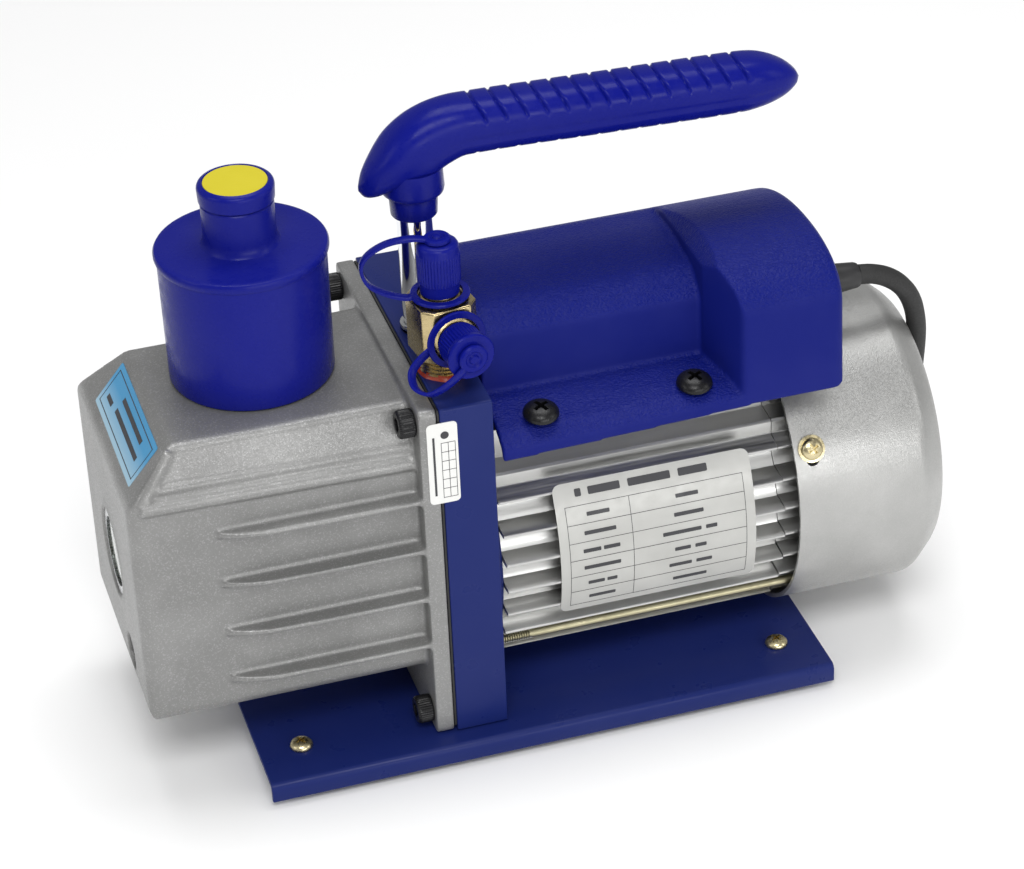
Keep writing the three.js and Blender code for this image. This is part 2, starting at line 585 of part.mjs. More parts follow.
// ---------------------------------------------------------------- blue motor cover and what it holds
// Half-outline of the arched roof from the centre line to the side, in (y, z).
function archOutline(halfWidth, top, shoulder, bottom, inset = 0) {
  const shape = new THREE.Shape();
  const w = halfWidth - inset;
  const crown = top - inset;
  const side = shoulder - inset * 0.5;
  shape.moveTo(-w, bottom).lineTo(-w, side);
  shape.bezierCurveTo(-w, side + (crown - side) * 0.75, -w * 0.62, crown, 0, crown);
  shape.bezierCurveTo(w * 0.62, crown, w, side + (crown - side) * 0.75, w, side);
  shape.lineTo(w, bottom);
  return shape;
}

// The rear box: full width towards the front, and rolling down to a narrower wall at the back.
function rearOutline(bottom, inset = 0) {
  const front = -COVER.halfWidth + inset;
  const back = COVER.backHalf - inset;
  const crown = 178.2 - inset;
  const shape = new THREE.Shape();
  shape.moveTo(front, bottom).lineTo(front, 160);
  shape.bezierCurveTo(front, 171 - inset, -46, crown, -24, crown);
  shape.bezierCurveTo(0, crown, 22, 170.8 - inset, back - 6, 158);
  shape.bezierCurveTo(back - 2, 153, back, 148, back, 138);
  shape.lineTo(back, bottom);
  return shape;
}

function makeMotorCover() {
  const { left, step, right, bottom, halfWidth, archHalf } = COVER;
  const wall = 2.4;
  const arch = prism(archOutline(archHalf, 169.2, 155, bottom + 3), "x", left, step + 3, 7);
  const archHollow = prism(archOutline(archHalf, 169.2, 155, bottom - 1, wall), "x", left + wall, step + 4,
    7);
  const rear = prism(rearOutline(bottom), "x", step, right, 8);
  const rearHollow = prism(rearOutline(bottom - 1, wall), "x", step + wall, right - wall, 8);
  const wing = outline(
    [-halfWidth, bottom - 2.5], [-halfWidth + 2.4, bottom - 2.5], [-halfWidth + 3.6, bottom + 2.6],
      [-archHalf + 3, bottom + 6.4],
    [-archHalf + 3, bottom + 9.4], [-archHalf - 2, bottom + 9.2], [-halfWidth + 3, bottom + 6],
      [-halfWidth, bottom + 3.4],
  );
  const frontWing = prism(wing, "x", left, step + 2);
  const backWing = prism(wing, "x", left, right).rotate([0, 0, 180]).translate([left + right, 0, 0]);
  const opening = prism(archOutline(archHalf, 169.2, 155, bottom - 1, wall), "x", step - 1,
    step + wall + 1, 7);
  const seat = cylinder("x", HOUSING.finTip + GAP, left - 1, right + 1, 48).translate([0, 0, SHAFT_Z]);
  const fanSeat = cylinder("x", FAN_COVER.radius + GAP, FAN_COVER.left - 1, right + 1, 56).translate([0, 0,
    SHAFT_Z]);
  const switchHole = block(right - 6, right + 1, SWITCH.y - 10.8, SWITCH.y + 10.8, SWITCH.z - 10.3,
    SWITCH.z + 10.3);
  const glandHole = cylinder("x", 6.3, right - 6, right + 1, 16).translate([0, -16, 146]);
  const screwHoles = [-2.8, 54].map((x) => cylinder("z", 3.5, bottom - 4, bottom + 12, 10).translate([x,
    -48.6, 0]));
  const shell = cut(join(arch, rear, frontWing, backWing), archHollow, rearHollow, opening, seat, fanSeat);
  addPart("motor_cover", cut(shell, switchHole, glandHole, ...screwHoles), "blueTexture");

  const screwHead = turned([[0, 0], [6.5, 0], [6.1, 1.4], [4, 2.9], [0, 3.6]], "z", 18);
  const screwShank = cylinder("z", 2.1, -9.4, 0.5, 10);
  [-2.8, 54].forEach((x, index) => {
    const place = groupAt(x, -48.6, bottom + 8.4);
    place.rotation.x = 0.14;
    addPart(`cover_screw_${index + 1}`, join(screwHead, screwShank), "blackSteel", place);
  });

  const capacitor = cylinder("x", 15, -8, 50, 24).translate([0, -4, 144.5]);
  addPart("start_capacitor", capacitor, "blackPlastic");
}

// The mains switch on the rear face of the cover, with its rocker turned to off.
function makeSwitch() {
  const place = groupAt(COVER.right, SWITCH.y, SWITCH.z);
  const bezel = block(GAP, 1.8, -12.4, 12.4, -10.8, 10.8);
  const body = block(-16, 1, -10.4, 10.4, -9.2, 9.2);
  const well = cylinder("y", 10.4, -9.6, 9.6, 20).translate([SWITCH.pivot, 0, 0]);
  addPart("switch_housing", join(bezel, body).subtract(well), "blackPlastic", place);
  const wedge = outline([-9.8, 1.4], [-1.2, 2.2], [8.6, 4.9], [9, 3.2], [6.5, -4.5], [-6.5, -4.5], [-9.9,
    -0.4]);
  addPart("switch_rocker", prism(wedge, "y", -9.2, 9.2).translate([SWITCH.pivot, 0, 0]), "blackPlastic",
    place);
}

// ---------------------------------------------------------------- mains lead
const CORD_ROUTE = [
  [129, -16, 146], [137, -15.8, 145.6], [143.6, -15.2, 143.6], [149.5, -14.2, 140], [154.6, -12.4, 132],
    [157.6, -10, 121],
  [158.8, -7, 106], [159, -3, 86], [158.8, 1, 64], [158.4, 5, 42], [157.6, 10, 24], [155.4, 17, 12],
  [150, 28, 5.4], [141, 44, 4.2], [130, 62, 4.2], [116, 82, 4.2], [100, 96, 4.2],
];
const COIL = { x: 62, y: 128, middle: 41, half: 8.6, height: 16.5 };

function makeCord() {
  const gland = turned(
    [[0, -7.6], [8.6, -7.6], [8.6, -4.8], [6, -4.4], [6, 0.6], [8.2, 0.9], [8.2, 3], [6.8, 5], [4.9, 21],
      [0, 21]], "x", 16,
  );
  addPart("cord_gland", gland, "blackPlastic", groupAt(COVER.right, -16, 146));
  const tube = swept(polygon(CORD.radius, 8), CORD_ROUTE, 44);
  addPart("power_cord", tube, "rubber");
  const { middle, half, height } = COIL;
  const coil = ring("z", middle - half, middle + half, 0.2, height, 28);
  addPart("cord_coil", coil, "rubber", groupAt(COIL.x, COIL.y, 0));
  const plugPlace = groupAt(COIL.x, COIL.y, height + GAP);
  const plugBody = cylinder("x", 17, 0, 18, 16).translate([0, 0, 17]);
  const plugTail = turned([[0, -26], [5, -26], [8.5, -6], [13, 1], [0, 1]], "x", 12).translate([0, 0, 17]);
  const pins = [-9.5, 9.5].map((y) => cylinder("x", 2.4, 17, 37, 8).translate([0, y, 17]));
  addPart("cord_plug", join(plugBody, plugTail, ...pins), "blackPlastic", plugPlace);
}

makeBase();
makeBracket();
makeTank();
makeTankScrews();
makeGlassAndDrain();
makeExhaust();
makeInlet();
makeTethers();
makeHandle();
makePumpModule();
makeMotor();
makeFanCover();
makeMotorCover();
makeSwitch();
makeCord();

export default pump;
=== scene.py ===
"""A rotary vane vacuum pump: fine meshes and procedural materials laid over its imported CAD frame.

Outlines are in millimetres and become metres when a piece is finished. The frame is the pump's own:
+X along the shaft towards the fan, -Y the nameplate side, +Z up, origin on the standing surface.
"""

import json
import math

import bmesh
import bpy
from mathutils import Matrix, Vector
from mathutils.geometry import interpolate_bezier


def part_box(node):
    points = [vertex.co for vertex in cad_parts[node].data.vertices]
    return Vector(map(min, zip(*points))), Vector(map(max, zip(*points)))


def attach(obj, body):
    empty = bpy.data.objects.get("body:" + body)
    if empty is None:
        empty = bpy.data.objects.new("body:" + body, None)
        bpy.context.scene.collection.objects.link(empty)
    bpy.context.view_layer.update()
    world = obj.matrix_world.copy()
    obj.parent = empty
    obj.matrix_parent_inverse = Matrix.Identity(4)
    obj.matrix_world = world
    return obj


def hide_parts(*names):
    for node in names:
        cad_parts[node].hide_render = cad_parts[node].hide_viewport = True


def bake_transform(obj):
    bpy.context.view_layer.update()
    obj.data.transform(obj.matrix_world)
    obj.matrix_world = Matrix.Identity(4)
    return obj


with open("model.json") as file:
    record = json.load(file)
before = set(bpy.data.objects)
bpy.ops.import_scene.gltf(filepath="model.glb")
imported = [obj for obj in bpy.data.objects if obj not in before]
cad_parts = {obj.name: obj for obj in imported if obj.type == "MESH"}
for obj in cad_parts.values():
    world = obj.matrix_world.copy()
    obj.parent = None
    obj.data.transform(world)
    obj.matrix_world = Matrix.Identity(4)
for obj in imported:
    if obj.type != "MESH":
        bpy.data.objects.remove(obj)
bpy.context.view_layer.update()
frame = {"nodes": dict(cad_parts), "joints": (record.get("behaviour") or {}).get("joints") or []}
MM = 0.001


def corners(node):
    """Lowest and highest corner of a CAD node, in millimetres."""
    low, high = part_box(node)
    return Vector(low) / MM, Vector(high) / MM


def centre_of(node):
    low, high = corners(node)
    return (low + high) / 2


TANK_LOW, TANK_HIGH = corners("oil_tank")
BRACKET_LOW, BRACKET_HIGH = corners("support_bracket")
COVER_LOW, COVER_HIGH = corners("motor_cover")
COVER_EDGE = COVER_LOW.z + 2.5
HOUSING_LOW, HOUSING_HIGH = corners("motor_housing")
FAN_LOW, FAN_HIGH = corners("fan_cover")
SHAFT_Z = (FAN_LOW.z + FAN_HIGH.z) / 2
ROD_LOW, ROD_HIGH = corners("handle_rod")
ROD = centre_of("handle_rod")
CUP_LOW, CUP_HIGH = corners("exhaust_housing")
LID_LOW, LID_HIGH = corners("exhaust_lid")
CAP_LOW, CAP_HIGH = corners("exhaust_cap")
EXHAUST = Vector(((CAP_LOW.x + CAP_HIGH.x) / 2, (CAP_LOW.y + CAP_HIGH.y) / 2, 0))
TOP_CAP_LOW, TOP_CAP_HIGH = corners("top_port_cap")
TEE = centre_of("top_port_cap")
SIDE_AXIS = Vector(next(j for j in frame["joints"] if j["name"] == "side_cap_pull")["axis"]).normalized()


# ------------------------------------------------------------ camera and stage
VIEW = {"azimuth": -15.54, "elevation": 32.65, "roll": -2.6, "distance": 1.2365, "lens": 118.27}
TARGET = Vector((0, 0, 0.0958))


def make_camera():
    azimuth, elevation, roll = (math.radians(VIEW[k]) for k in ("azimuth", "elevation", "roll"))
    level_back = Vector((math.sin(azimuth), -math.cos(azimuth), 0))
    back = level_back * math.cos(elevation) + Vector((0, 0, math.sin(elevation)))
    level = Vector((math.cos(azimuth), math.sin(azimuth), 0))
    upright = back.cross(level)
    right = level * math.cos(roll) + upright * math.sin(roll)
    up = upright * math.cos(roll) - level * math.sin(roll)
    camera = bpy.data.cameras.new("camera")
    camera.lens, camera.sensor_width = VIEW["lens"], 36
    camera.clip_start, camera.clip_end = 0.05, 50
    holder = bpy.data.objects.new("camera", camera)
    turn = Matrix((right, up, back)).transposed().to_4x4()
    holder.matrix_world = Matrix.Translation(TARGET + back * VIEW["distance"]) @ turn
    bpy.context.scene.collection.objects.link(holder)
    bpy.context.scene.camera = holder


def soft_box(name, place, aim, width, height, power):
    light = bpy.data.lights.new(name, "AREA")
    light.shape, light.size, light.size_y, light.energy = "RECTANGLE", width, height, power
    holder = bpy.data.objects.new(name, light)
    holder.location = place
    holder.rotation_euler = (Vector(aim) - Vector(place)).to_track_quat("-Z", "Y").to_euler()
    bpy.context.scene.collection.objects.link(holder)


def make_stage():
    scene = bpy.context.scene
    scene.view_settings.view_transform = "Standard"
    world = bpy.data.worlds.new("studio")
    scene.world = world
    world.use_nodes = True
    world.node_tree.nodes["Background"].inputs["Color"].default_value = (1, 1, 1, 1)
    world.node_tree.nodes["Background"].inputs["Strength"].default_value = 0.34
    soft_box("key", (-0.35, -1.3, 1.7), (0, 0, 0.08), 1.0, 0.6, 19)
    soft_box("front", (0.3, -1.6, 0.42), (0, 0, 0.12), 1.3, 0.3, 8)
    soft_box("top", (0.15, 0.3, 1.9), (0, 0, 0.1), 1.3, 0.9, 18)
    soft_box("left", (-1.7, -0.2, 0.9), (0, 0, 0.1), 0.8, 0.9, 4)
    soft_box("right", (1.5, -0.9, 0.8), (0, 0, 0.1), 0.6, 0.9, 3)
    bpy.ops.mesh.primitive_plane_add(size=8, location=(0, 0, 0))
    floor = bpy.context.object
    floor.name = "floor"
    shader = Material("floor_white")
    shader.set(colour=(0.96, 0.96, 0.96), roughness=0.9, specular=0.1)
    floor.data.materials.append(shader.material)


# ------------------------------------------------------------ materials
class Material:
    """A Principled material whose colour, roughness and relief are built from small procedural layers."""

    def __init__(self, name):
        self.material = bpy.data.materials.new(name)
        self.material.use_nodes = True
        self.tree = self.material.node_tree
        self.shader = self.tree.nodes["Principled BSDF"]
        self.coordinates = self.tree.nodes.new("ShaderNodeTexCoord").outputs["Object"]
        self.relief = None

    def node(self, kind, **values):
        made = self.tree.nodes.new("ShaderNode" + kind)
        for key, value in values.items():
            if key in made.inputs:
                made.inputs[key].default_value = value
            else:
                setattr(made, key, value)
        return made

    def link(self, output, target):
        self.tree.links.new(output, target)

    def set(self, colour=None, roughness=None, metallic=None, specular=None, ior=None):
        sockets = {"Roughness": roughness, "Metallic": metallic, "Specular IOR Level": specular, "IOR": ior}
        if colour is not None:
            self.shader.inputs["Base Color"].default_value = (*colour, 1)
            self.base = colour
        for name, value in sockets.items():
            if value is not None:
                self.shader.inputs[name].default_value = value
        return self

    def stretched(self, scale):
        """Object coordinates stretched by a factor for each axis."""
        mapping = self.node("Mapping")
        mapping.inputs["Scale"].default_value = scale
        self.link(self.coordinates, mapping.inputs["Vector"])
        return mapping.outputs["Vector"]

    def noise(self, scale, detail=3, stretch=None):
        made = self.node("TexNoise", Scale=scale, Detail=detail, Roughness=0.55)
        self.link(self.stretched(stretch) if stretch else self.coordinates, made.inputs["Vector"])
        return made.outputs["Fac"]

    def ramp(self, value, low, high, start=0.0, end=1.0):
        made = self.node("MapRange")
        made.inputs["From Min"].default_value, made.inputs["From Max"].default_value = start, end
        made.inputs["To Min"].default_value, made.inputs["To Max"].default_value = low, high
        self.link(value, made.inputs["Value"])
        return made.outputs["Result"]

    def tint(self, factor, colour):
        """Mixes another colour over the base colour by a factor output."""
        mix = self.node("Mix", data_type="RGBA")
        target = self.shader.inputs["Base Color"]
        under, over = (
            next(s for s in mix.inputs if s.name == name and s.type == "RGBA") for name in ("A", "B")
        )
        if target.is_linked:
            self.link(target.links[0].from_socket, under)
        else:
            under.default_value = target.default_value
        over.default_value = (*colour, 1)
        self.link(factor, mix.inputs["Factor"])
        output = next(s for s in mix.outputs if s.type == "RGBA")
        self.link(output, target)
        return self

    def mottle(self, scale, amount, stretch=None):
        """Uneven colour: the base colour made lighter by a share, in patches."""
        lighter = tuple(min(1, c * (1 + 6 * amount) + amount) for c in self.base)
        patches = self.ramp(self.noise(scale, stretch=stretch), 0, 1, 0.42, 0.68)
        return self.tint(patches, lighter)

    def rough(self, scale, low, high, stretch=None):
        """Roughness that wanders between two values."""
        wander = self.ramp(self.noise(scale, stretch=stretch), low, high, 0.35, 0.65)
        self.link(wander, self.shader.inputs["Roughness"])
        return self

    def bump(self, value, height, strength=0.5):
        """Adds a layer of relief, its height in metres."""
        made = self.node("Bump", Strength=strength, Distance=height)
        self.link(value, made.inputs["Height"])
        if self.relief:
            self.link(self.relief, made.inputs["Normal"])
        self.relief = made.outputs["Normal"]
        self.link(self.relief, self.shader.inputs["Normal"])
        return self

    def facing_up(self, start, end):
        """How far the surface faces up, from 0 to 1."""
        split = self.node("SeparateXYZ")
        self.link(self.node("NewGeometry").outputs["Normal"], split.inputs["Vector"])
        return self.ramp(split.outputs["Z"], 0, 1, start, end)


def moulded_blue():
    shader = Material("blue_moulding")
    shader.set(colour=(0.003, 0.006, 0.18), roughness=0.28, specular=0.12)
    shader.mottle(18, 0.004)
    shader.rough(260, 0.22, 0.36)
    shader.bump(shader.noise(45, 2), 0.0006, 0.16)
    return shader.bump(shader.noise(1500, 2), 0.00008, 0.2).material


def textured_blue():
    """Leather-like grain on faces that look up, and a satin skin on upright walls."""
    shader = Material("blue_grained_moulding")
    shader.set(colour=(0.004, 0.009, 0.15), roughness=0.5, specular=0.11)
    shader.mottle(25, 0.004)
    up = shader.facing_up(0.12, 0.5)
    cells = shader.node("TexVoronoi", Scale=1500, Randomness=1.0, feature="SMOOTH_F1")
    warp = shader.node("Mapping")
    warp.inputs["Scale"].default_value = (0.62, 1.15, 1.0)
    shift = shader.node("TexNoise", Scale=260, Detail=3)
    shader.link(shader.coordinates, shift.inputs["Vector"])
    moved = shader.node("VectorMath", operation="MULTIPLY_ADD")
    moved.inputs[1].default_value = (0.004, 0.004, 0.004)
    shader.link(shift.outputs["Color"], moved.inputs[0])
    shader.link(shader.coordinates, moved.inputs[2])
    shader.link(moved.outputs[0], warp.inputs["Vector"])
    shader.link(warp.outputs["Vector"], cells.inputs["Vector"])
    grain = shader.node("Math", operation="MULTIPLY")
    shader.link(cells.outputs["Distance"], grain.inputs[0])
    shader.link(up, grain.inputs[1])
    shader.bump(grain.outputs[0], 0.00055, 0.7)
    shader.bump(shader.noise(2400, 3), 0.00012, 0.35)
    shader.link(shader.ramp(up, 0.56, 0.4), shader.shader.inputs["Roughness"])
    return shader.material


def painted_blue():
    shader = Material("blue_paint")
    shader.set(colour=(0.009, 0.018, 0.12), roughness=0.3, specular=0.15)
    shader.mottle(14, 0.004)
    shader.rough(90, 0.27, 0.4)
    shader.bump(shader.noise(420, 3), 0.00012, 0.22)
    return shader.material


def painted_silver(name="silver_paint", colour=(0.21, 0.21, 0.206), metallic=0.42, sparkle=0.12):
    """Metallic paint: flakes that catch the light over a faintly pitted casting."""
    shader = Material(name)
    shader.set(colour=colour, roughness=0.42, metallic=metallic, specular=0.5)
    shader.mottle(30, 0.02)
    flakes = shader.node("TexVoronoi", Scale=2500, Randomness=1.0)
    shader.link(shader.coordinates, flakes.inputs["Vector"])
    split = shader.node("SeparateColor")
    shader.link(flakes.outputs["Color"], split.inputs["Color"])
    # Lighter flake cells painted into the colour: partly the flakes' paler metal, partly painted glints.
    shader.tint(shader.ramp(split.outputs["Red"], 0, sparkle, 0.75, 1.0), (0.9, 0.9, 0.9))
    shader.link(shader.ramp(split.outputs["Green"], 0.28, 0.5), shader.shader.inputs["Roughness"])
    shader.bump(flakes.outputs["Distance"], 0.00018, 0.22)
    shader.bump(shader.noise(700, 3), 0.00018, 0.3)
    return shader.bump(shader.noise(60, 2), 0.0008, 0.12).material


def bare_metal(name, colour, low, high, stretch=(1, 1, 1), scale=900, depth=0.00006, metallic=1.0):
    shader = Material(name)
    shader.set(colour=colour, metallic=metallic, roughness=(low + high) / 2)
    shader.mottle(40, 0.015, stretch=stretch)
    shader.rough(scale, low, high, stretch=stretch)
    return shader.bump(shader.noise(scale, 3, stretch=stretch), depth, 0.35).material


def dark_finish(name, colour, low, high, grain=900, depth=0.0001, specular=0.5):
    shader = Material(name)
    shader.set(colour=colour, roughness=(low + high) / 2, specular=specular)
    shader.mottle(60, 0.004)
    shader.rough(grain, low, high)
    return shader.bump(shader.noise(grain, 3), depth, 0.3).material


def make_materials():
    made = {
        "blue_gloss": moulded_blue(),
        "blue_texture": textured_blue(),
        "blue_paint": painted_blue(),
        "silver_paint": painted_silver(),
        # A lighter copy of the silver paint for the fan shroud: its paler colour is painted reflection of
        # the bright surroundings.
        "shroud_silver_painted_reflection": painted_silver("silver_paint_lit_copy", (0.40, 0.40, 0.39), 0.72, 0.05),
        "aluminium": bare_metal(
            "extruded_aluminium", (0.54, 0.54, 0.53), 0.3, 0.44, (0.03, 1, 1), 900, 0.00002,
        ),
        "steel": bare_metal("ground_steel", (0.55, 0.56, 0.57), 0.2, 0.35),
        "chrome": bare_metal("chrome_plate", (0.82, 0.83, 0.86), 0.03, 0.08, scale=300, depth=0.00001),
        "zinc": bare_metal("yellow_zinc_plate", (0.62, 0.54, 0.33), 0.2, 0.38, scale=600),
        "tie_rod": bare_metal("dull_zinc_plate", (0.40, 0.37, 0.24), 0.32, 0.45, scale=600),
        "brass": bare_metal("turned_brass", (0.50, 0.40, 0.21), 0.2, 0.34, (1, 1, 2), 500, 0.00004),
        "cast_iron": bare_metal("machined_iron", (0.16, 0.165, 0.17), 0.4, 0.6),
        "black_steel": dark_finish("black_oxide", (0.005, 0.005, 0.006), 0.26, 0.4, 1200, 0.00006, 0.3),
        "rubber": dark_finish("black_rubber", (0.012, 0.012, 0.012), 0.5, 0.7, 1600, 0.00008),
        "black_plastic": dark_finish("black_moulding", (0.014, 0.014, 0.015), 0.35, 0.5, 1400),
        "white_label": dark_finish("white_label", (0.72, 0.72, 0.70), 0.28, 0.4, 200, 0.00003),
        "silver_label": bare_metal(
            "silver_film", (0.44, 0.44, 0.42), 0.35, 0.45, scale=300, depth=0.00001, metallic=0.25,
        ),
        "yellow_label": dark_finish("yellow_label", (0.58, 0.50, 0.012), 0.3, 0.42, 200, 0.00003),
        "blue_label": label_blue(),
        "dark_ink": dark_finish("dark_ink", (0.03, 0.03, 0.035), 0.35, 0.5, 300, 0.00001),
        "filter": dark_finish("filter_felt", (0.6, 0.56, 0.45), 0.9, 1.0, 700, 0.0004, 0.2),
        "sealant": dark_finish("thread_sealant", (0.30, 0.035, 0.012), 0.25, 0.4, 500, 0.0002),
    }
    glass = Material("sight_glass_clear")
    glass.set(colour=(0.86, 0.93, 0.88), roughness=0.04, ior=1.47)
    glass.shader.inputs["Transmission Weight"].default_value = 1
    glass.bump(glass.noise(80, 2), 0.0001, 0.05)
    made["glass"] = glass.material
    oil = Material("oil_in_window")
    oil.set(colour=(0.10, 0.085, 0.05), roughness=0.15)
    level = oil.node("SeparateXYZ")
    oil.link(oil.coordinates, level.inputs["Vector"])
    # Above the oil line the disc is painted near black: painted shade of the unlit space inside the tank.
    oil.tint(oil.ramp(level.outputs["Z"], 0, 1, 0.0788, 0.0792), (0.035, 0.036, 0.04))
    oil.bump(oil.noise(300, 2), 0.0001, 0.1)
    made["oil"] = oil.material
    return made


def label_blue():
    """Sky-blue film, paler towards its lower edge."""
    shader = Material("blue_label")
    shader.set(colour=(0.05, 0.27, 0.50), roughness=0.3)
    height = shader.node("SeparateXYZ")
    shader.link(shader.coordinates, height.inputs["Vector"])
    shader.tint(shader.ramp(height.outputs["Z"], 0.75, 0, 0.131, 0.139), (0.40, 0.56, 0.64))
    return shader.bump(shader.noise(300, 2), 0.00004, 0.15).material


# ------------------------------------------------------------ mesh tools
TURN = {
    "x": Matrix(((0, 0, 1), (1, 0, 0), (0, 1, 0))),
    "y": Matrix(((0, 1, 0), (0, 0, 1), (1, 0, 0))),
    "z": Matrix.Identity(3),
}


def laid(axis, u, v, along):
    """A point of an outline: (u, v) is (y, z) along x, (z, x) along y and (x, y) along z."""
    return TURN[axis] @ Vector((u, v, along))


def rounded(points, steps=4):
    """Replaces each corner (u, v, radius) of a closed outline by an arc."""
    out = []
    for i, corner in enumerate(points):
        here = Vector(corner[:2])
        radius = corner[2] if len(corner) > 2 else 0
        if not radius:
            out.append(tuple(here))
            continue
        back = Vector(points[i - 1][:2]) - here
        ahead = Vector(points[(i + 1) % len(points)][:2]) - here
        half = back.angle(ahead) / 2
        reach = min(radius / math.tan(half), 0.49 * back.length, 0.49 * ahead.length)
        radius = reach * math.tan(half)
        centre = here + (back.normalized() + ahead.normalized()).normalized() * (radius / math.sin(half))
        first = here + back.normalized() * reach - centre
        last = here + ahead.normalized() * reach - centre
        turn = math.remainder(math.atan2(last.y, last.x) - math.atan2(first.y, first.x), math.tau)
        for k in range(steps + 1):
            angle = math.atan2(first.y, first.x) + turn * k / steps
            out.append((centre.x + radius * math.cos(angle), centre.y + radius * math.sin(angle)))
    return out


def oblong(u0, v0, u1, v1, radius, steps):
    """A rectangle with rounded corners."""
    return rounded([(u0, v0, radius), (u1, v0, radius), (u1, v1, radius), (u0, v1, radius)], steps)


def ngon(radius, sides, middle=(0, 0)):
    """A regular outline with its first corner on the u axis."""
    turns = [math.tau * k / sides for k in range(sides)]
    return [(middle[0] + radius * math.cos(a), middle[1] + radius * math.sin(a)) for a in turns]


def prism(outline, axis, low, high):
    """A closed outline drawn along an axis."""
    bm = bmesh.new()
    bottom = [bm.verts.new(laid(axis, *point, low)) for point in outline]
    top = [bm.verts.new(laid(axis, *point, high)) for point in outline]
    bm.faces.new(bottom[::-1])
    bm.faces.new(top)
    for i in range(len(outline)):
        j = (i + 1) % len(outline)
        bm.faces.new((bottom[i], bottom[j], top[j], top[i]))
    bmesh.ops.recalc_face_normals(bm, faces=bm.faces)
    return bm


def skinned(bm, rings):
    """Joins rings of vertices by walls and closes both ends."""
    for first, second in zip(rings, rings[1:]):
        for k in range(len(first)):
            n = (k + 1) % len(first)
            bm.faces.new((first[k], first[n], second[n], second[k]))
    bm.faces.new(rings[0][::-1])
    bm.faces.new(rings[-1])
    bmesh.ops.recalc_face_normals(bm, faces=bm.faces)
    return bm


def soft_end(outline, axis, low, high, radius, steps=5):
    """A prism whose far end is rounded over."""
    count = len(outline)
    inward = []
    for i in range(count):
        along = Vector(outline[(i + 1) % count]) - Vector(outline[i - 1])
        inward.append(Vector((along.y, -along.x)).normalized())
    if sum(outline[i - 1][0] * outline[i][1] - outline[i][0] * outline[i - 1][1] for i in range(count)) > 0:
        inward = [-way for way in inward]
    bm = bmesh.new()
    rings = [[bm.verts.new(laid(axis, *point, low)) for point in outline]]
    for k in range(steps + 1):
        turn = math.pi / 2 * k / steps
        shift = radius * (1 - math.cos(turn))
        height = high - radius + radius * math.sin(turn)
        drawn_in = [Vector(point) + way * shift for point, way in zip(outline, inward)]
        rings.append([bm.verts.new(laid(axis, *point, height)) for point in drawn_in])
    return skinned(bm, rings)


def block(low, high):
    outline = [(low[0], low[1]), (high[0], low[1]), (high[0], high[1]), (low[0], high[1])]
    return prism(outline, "z", low[2], high[2])


def lathe(profile, axis="z", segments=64, wave=None, start=0):
    """Turns (radius, along) points about an axis, along being measured from a start.

    wave(angle, radius, along) may move a point's radius.
    """
    bm = bmesh.new()
    rings = []
    for radius, distance in profile:
        along = start + distance
        if radius < 1e-6:
            rings.append([bm.verts.new(laid(axis, 0, 0, along))])
            continue
        ring = []
        for k in range(segments):
            angle = math.tau * k / segments
            r = wave(angle, radius, along) if wave else radius
            ring.append(bm.verts.new(laid(axis, r * math.cos(angle), r * math.sin(angle), along)))
        rings.append(ring)
    closed = tuple(profile[0]) == tuple(profile[-1])
    if closed:
        bmesh.ops.delete(bm, geom=rings[-1], context="VERTS")
        rings[-1] = rings[0]
    for first, second in zip(rings, rings[1:]):
        for k in range(segments):
            n = (k + 1) % segments
            face = [
                first[k % len(first)], first[n % len(first)], second[n % len(second)],
                second[k % len(second)],
            ]
            face = list(dict.fromkeys(face))
            if len(face) > 2:
                bm.faces.new(face)
    bmesh.ops.recalc_face_normals(bm, faces=bm.faces)
    return bm


def cylinder(radius, low, high, axis, segments=48):
    return lathe([(0, low), (radius, low), (radius, high), (0, high)], axis, segments)


def disc(radius, low, high, axis="z", edge=0.4, segments=48):
    """A round boss or button with softened edges."""
    return lathe(
        [
            (0, low), (radius - edge, low), (radius, low + edge), (radius, high - edge),
            (radius - edge, high), (0, high),
        ], axis, segments,
    )


def moved(bm, offset=(0, 0, 0), turn=None):
    """Turns a bmesh about the origin and then moves it."""
    matrix = Matrix.Translation(Vector(offset)) @ (turn.to_4x4() if turn else Matrix.Identity(4))
    bmesh.ops.transform(bm, matrix=matrix, verts=bm.verts)
    return bm


def together(*parts):
    """Puts several closed shells into one bmesh."""
    whole = bmesh.new()
    for part in parts:
        mesh = bpy.data.meshes.new("shell")
        part.to_mesh(mesh)
        part.free()
        whole.from_mesh(mesh)
        bpy.data.meshes.remove(mesh)
    return whole


def through_modifiers(bm, add_modifiers, tools=()):
    """Runs a bmesh through modifiers that add_modifiers(object, tool objects) sets up."""
    objects = []
    for shape in (bm, *tools):
        mesh = bpy.data.meshes.new("work")
        shape.to_mesh(mesh)
        shape.free()
        made = bpy.data.objects.new("work", mesh)
        bpy.context.scene.collection.objects.link(made)
        objects.append(made)
    add_modifiers(objects[0], objects[1:])
    seen = objects[0].evaluated_get(bpy.context.evaluated_depsgraph_get())
    result = bmesh.new()
    result.from_mesh(seen.to_mesh())
    seen.to_mesh_clear()
    for made in objects:
        mesh = made.data
        bpy.data.objects.remove(made)
        bpy.data.meshes.remove(mesh)
    return result


def combined(operation, first, *others):
    """Boolean UNION, DIFFERENCE or INTERSECT of closed shells."""

    def add(target, tools):
        for tool in tools:
            modifier = target.modifiers.new(operation, "BOOLEAN")
            modifier.operation, modifier.solver, modifier.object = operation, "EXACT", tool

    return through_modifiers(first, add, others)


def cast(bm, voxel, passes):
    """Softens every edge and corner, as a casting or a moulding has them."""

    def add(target, _):
        remesh = target.modifiers.new("cells", "REMESH")
        remesh.mode, remesh.voxel_size, remesh.adaptivity = "VOXEL", voxel, 0
        smooth = target.modifiers.new("soften", "SMOOTH")
        smooth.factor, smooth.iterations = 0.5, passes

    return through_modifiers(bm, add)


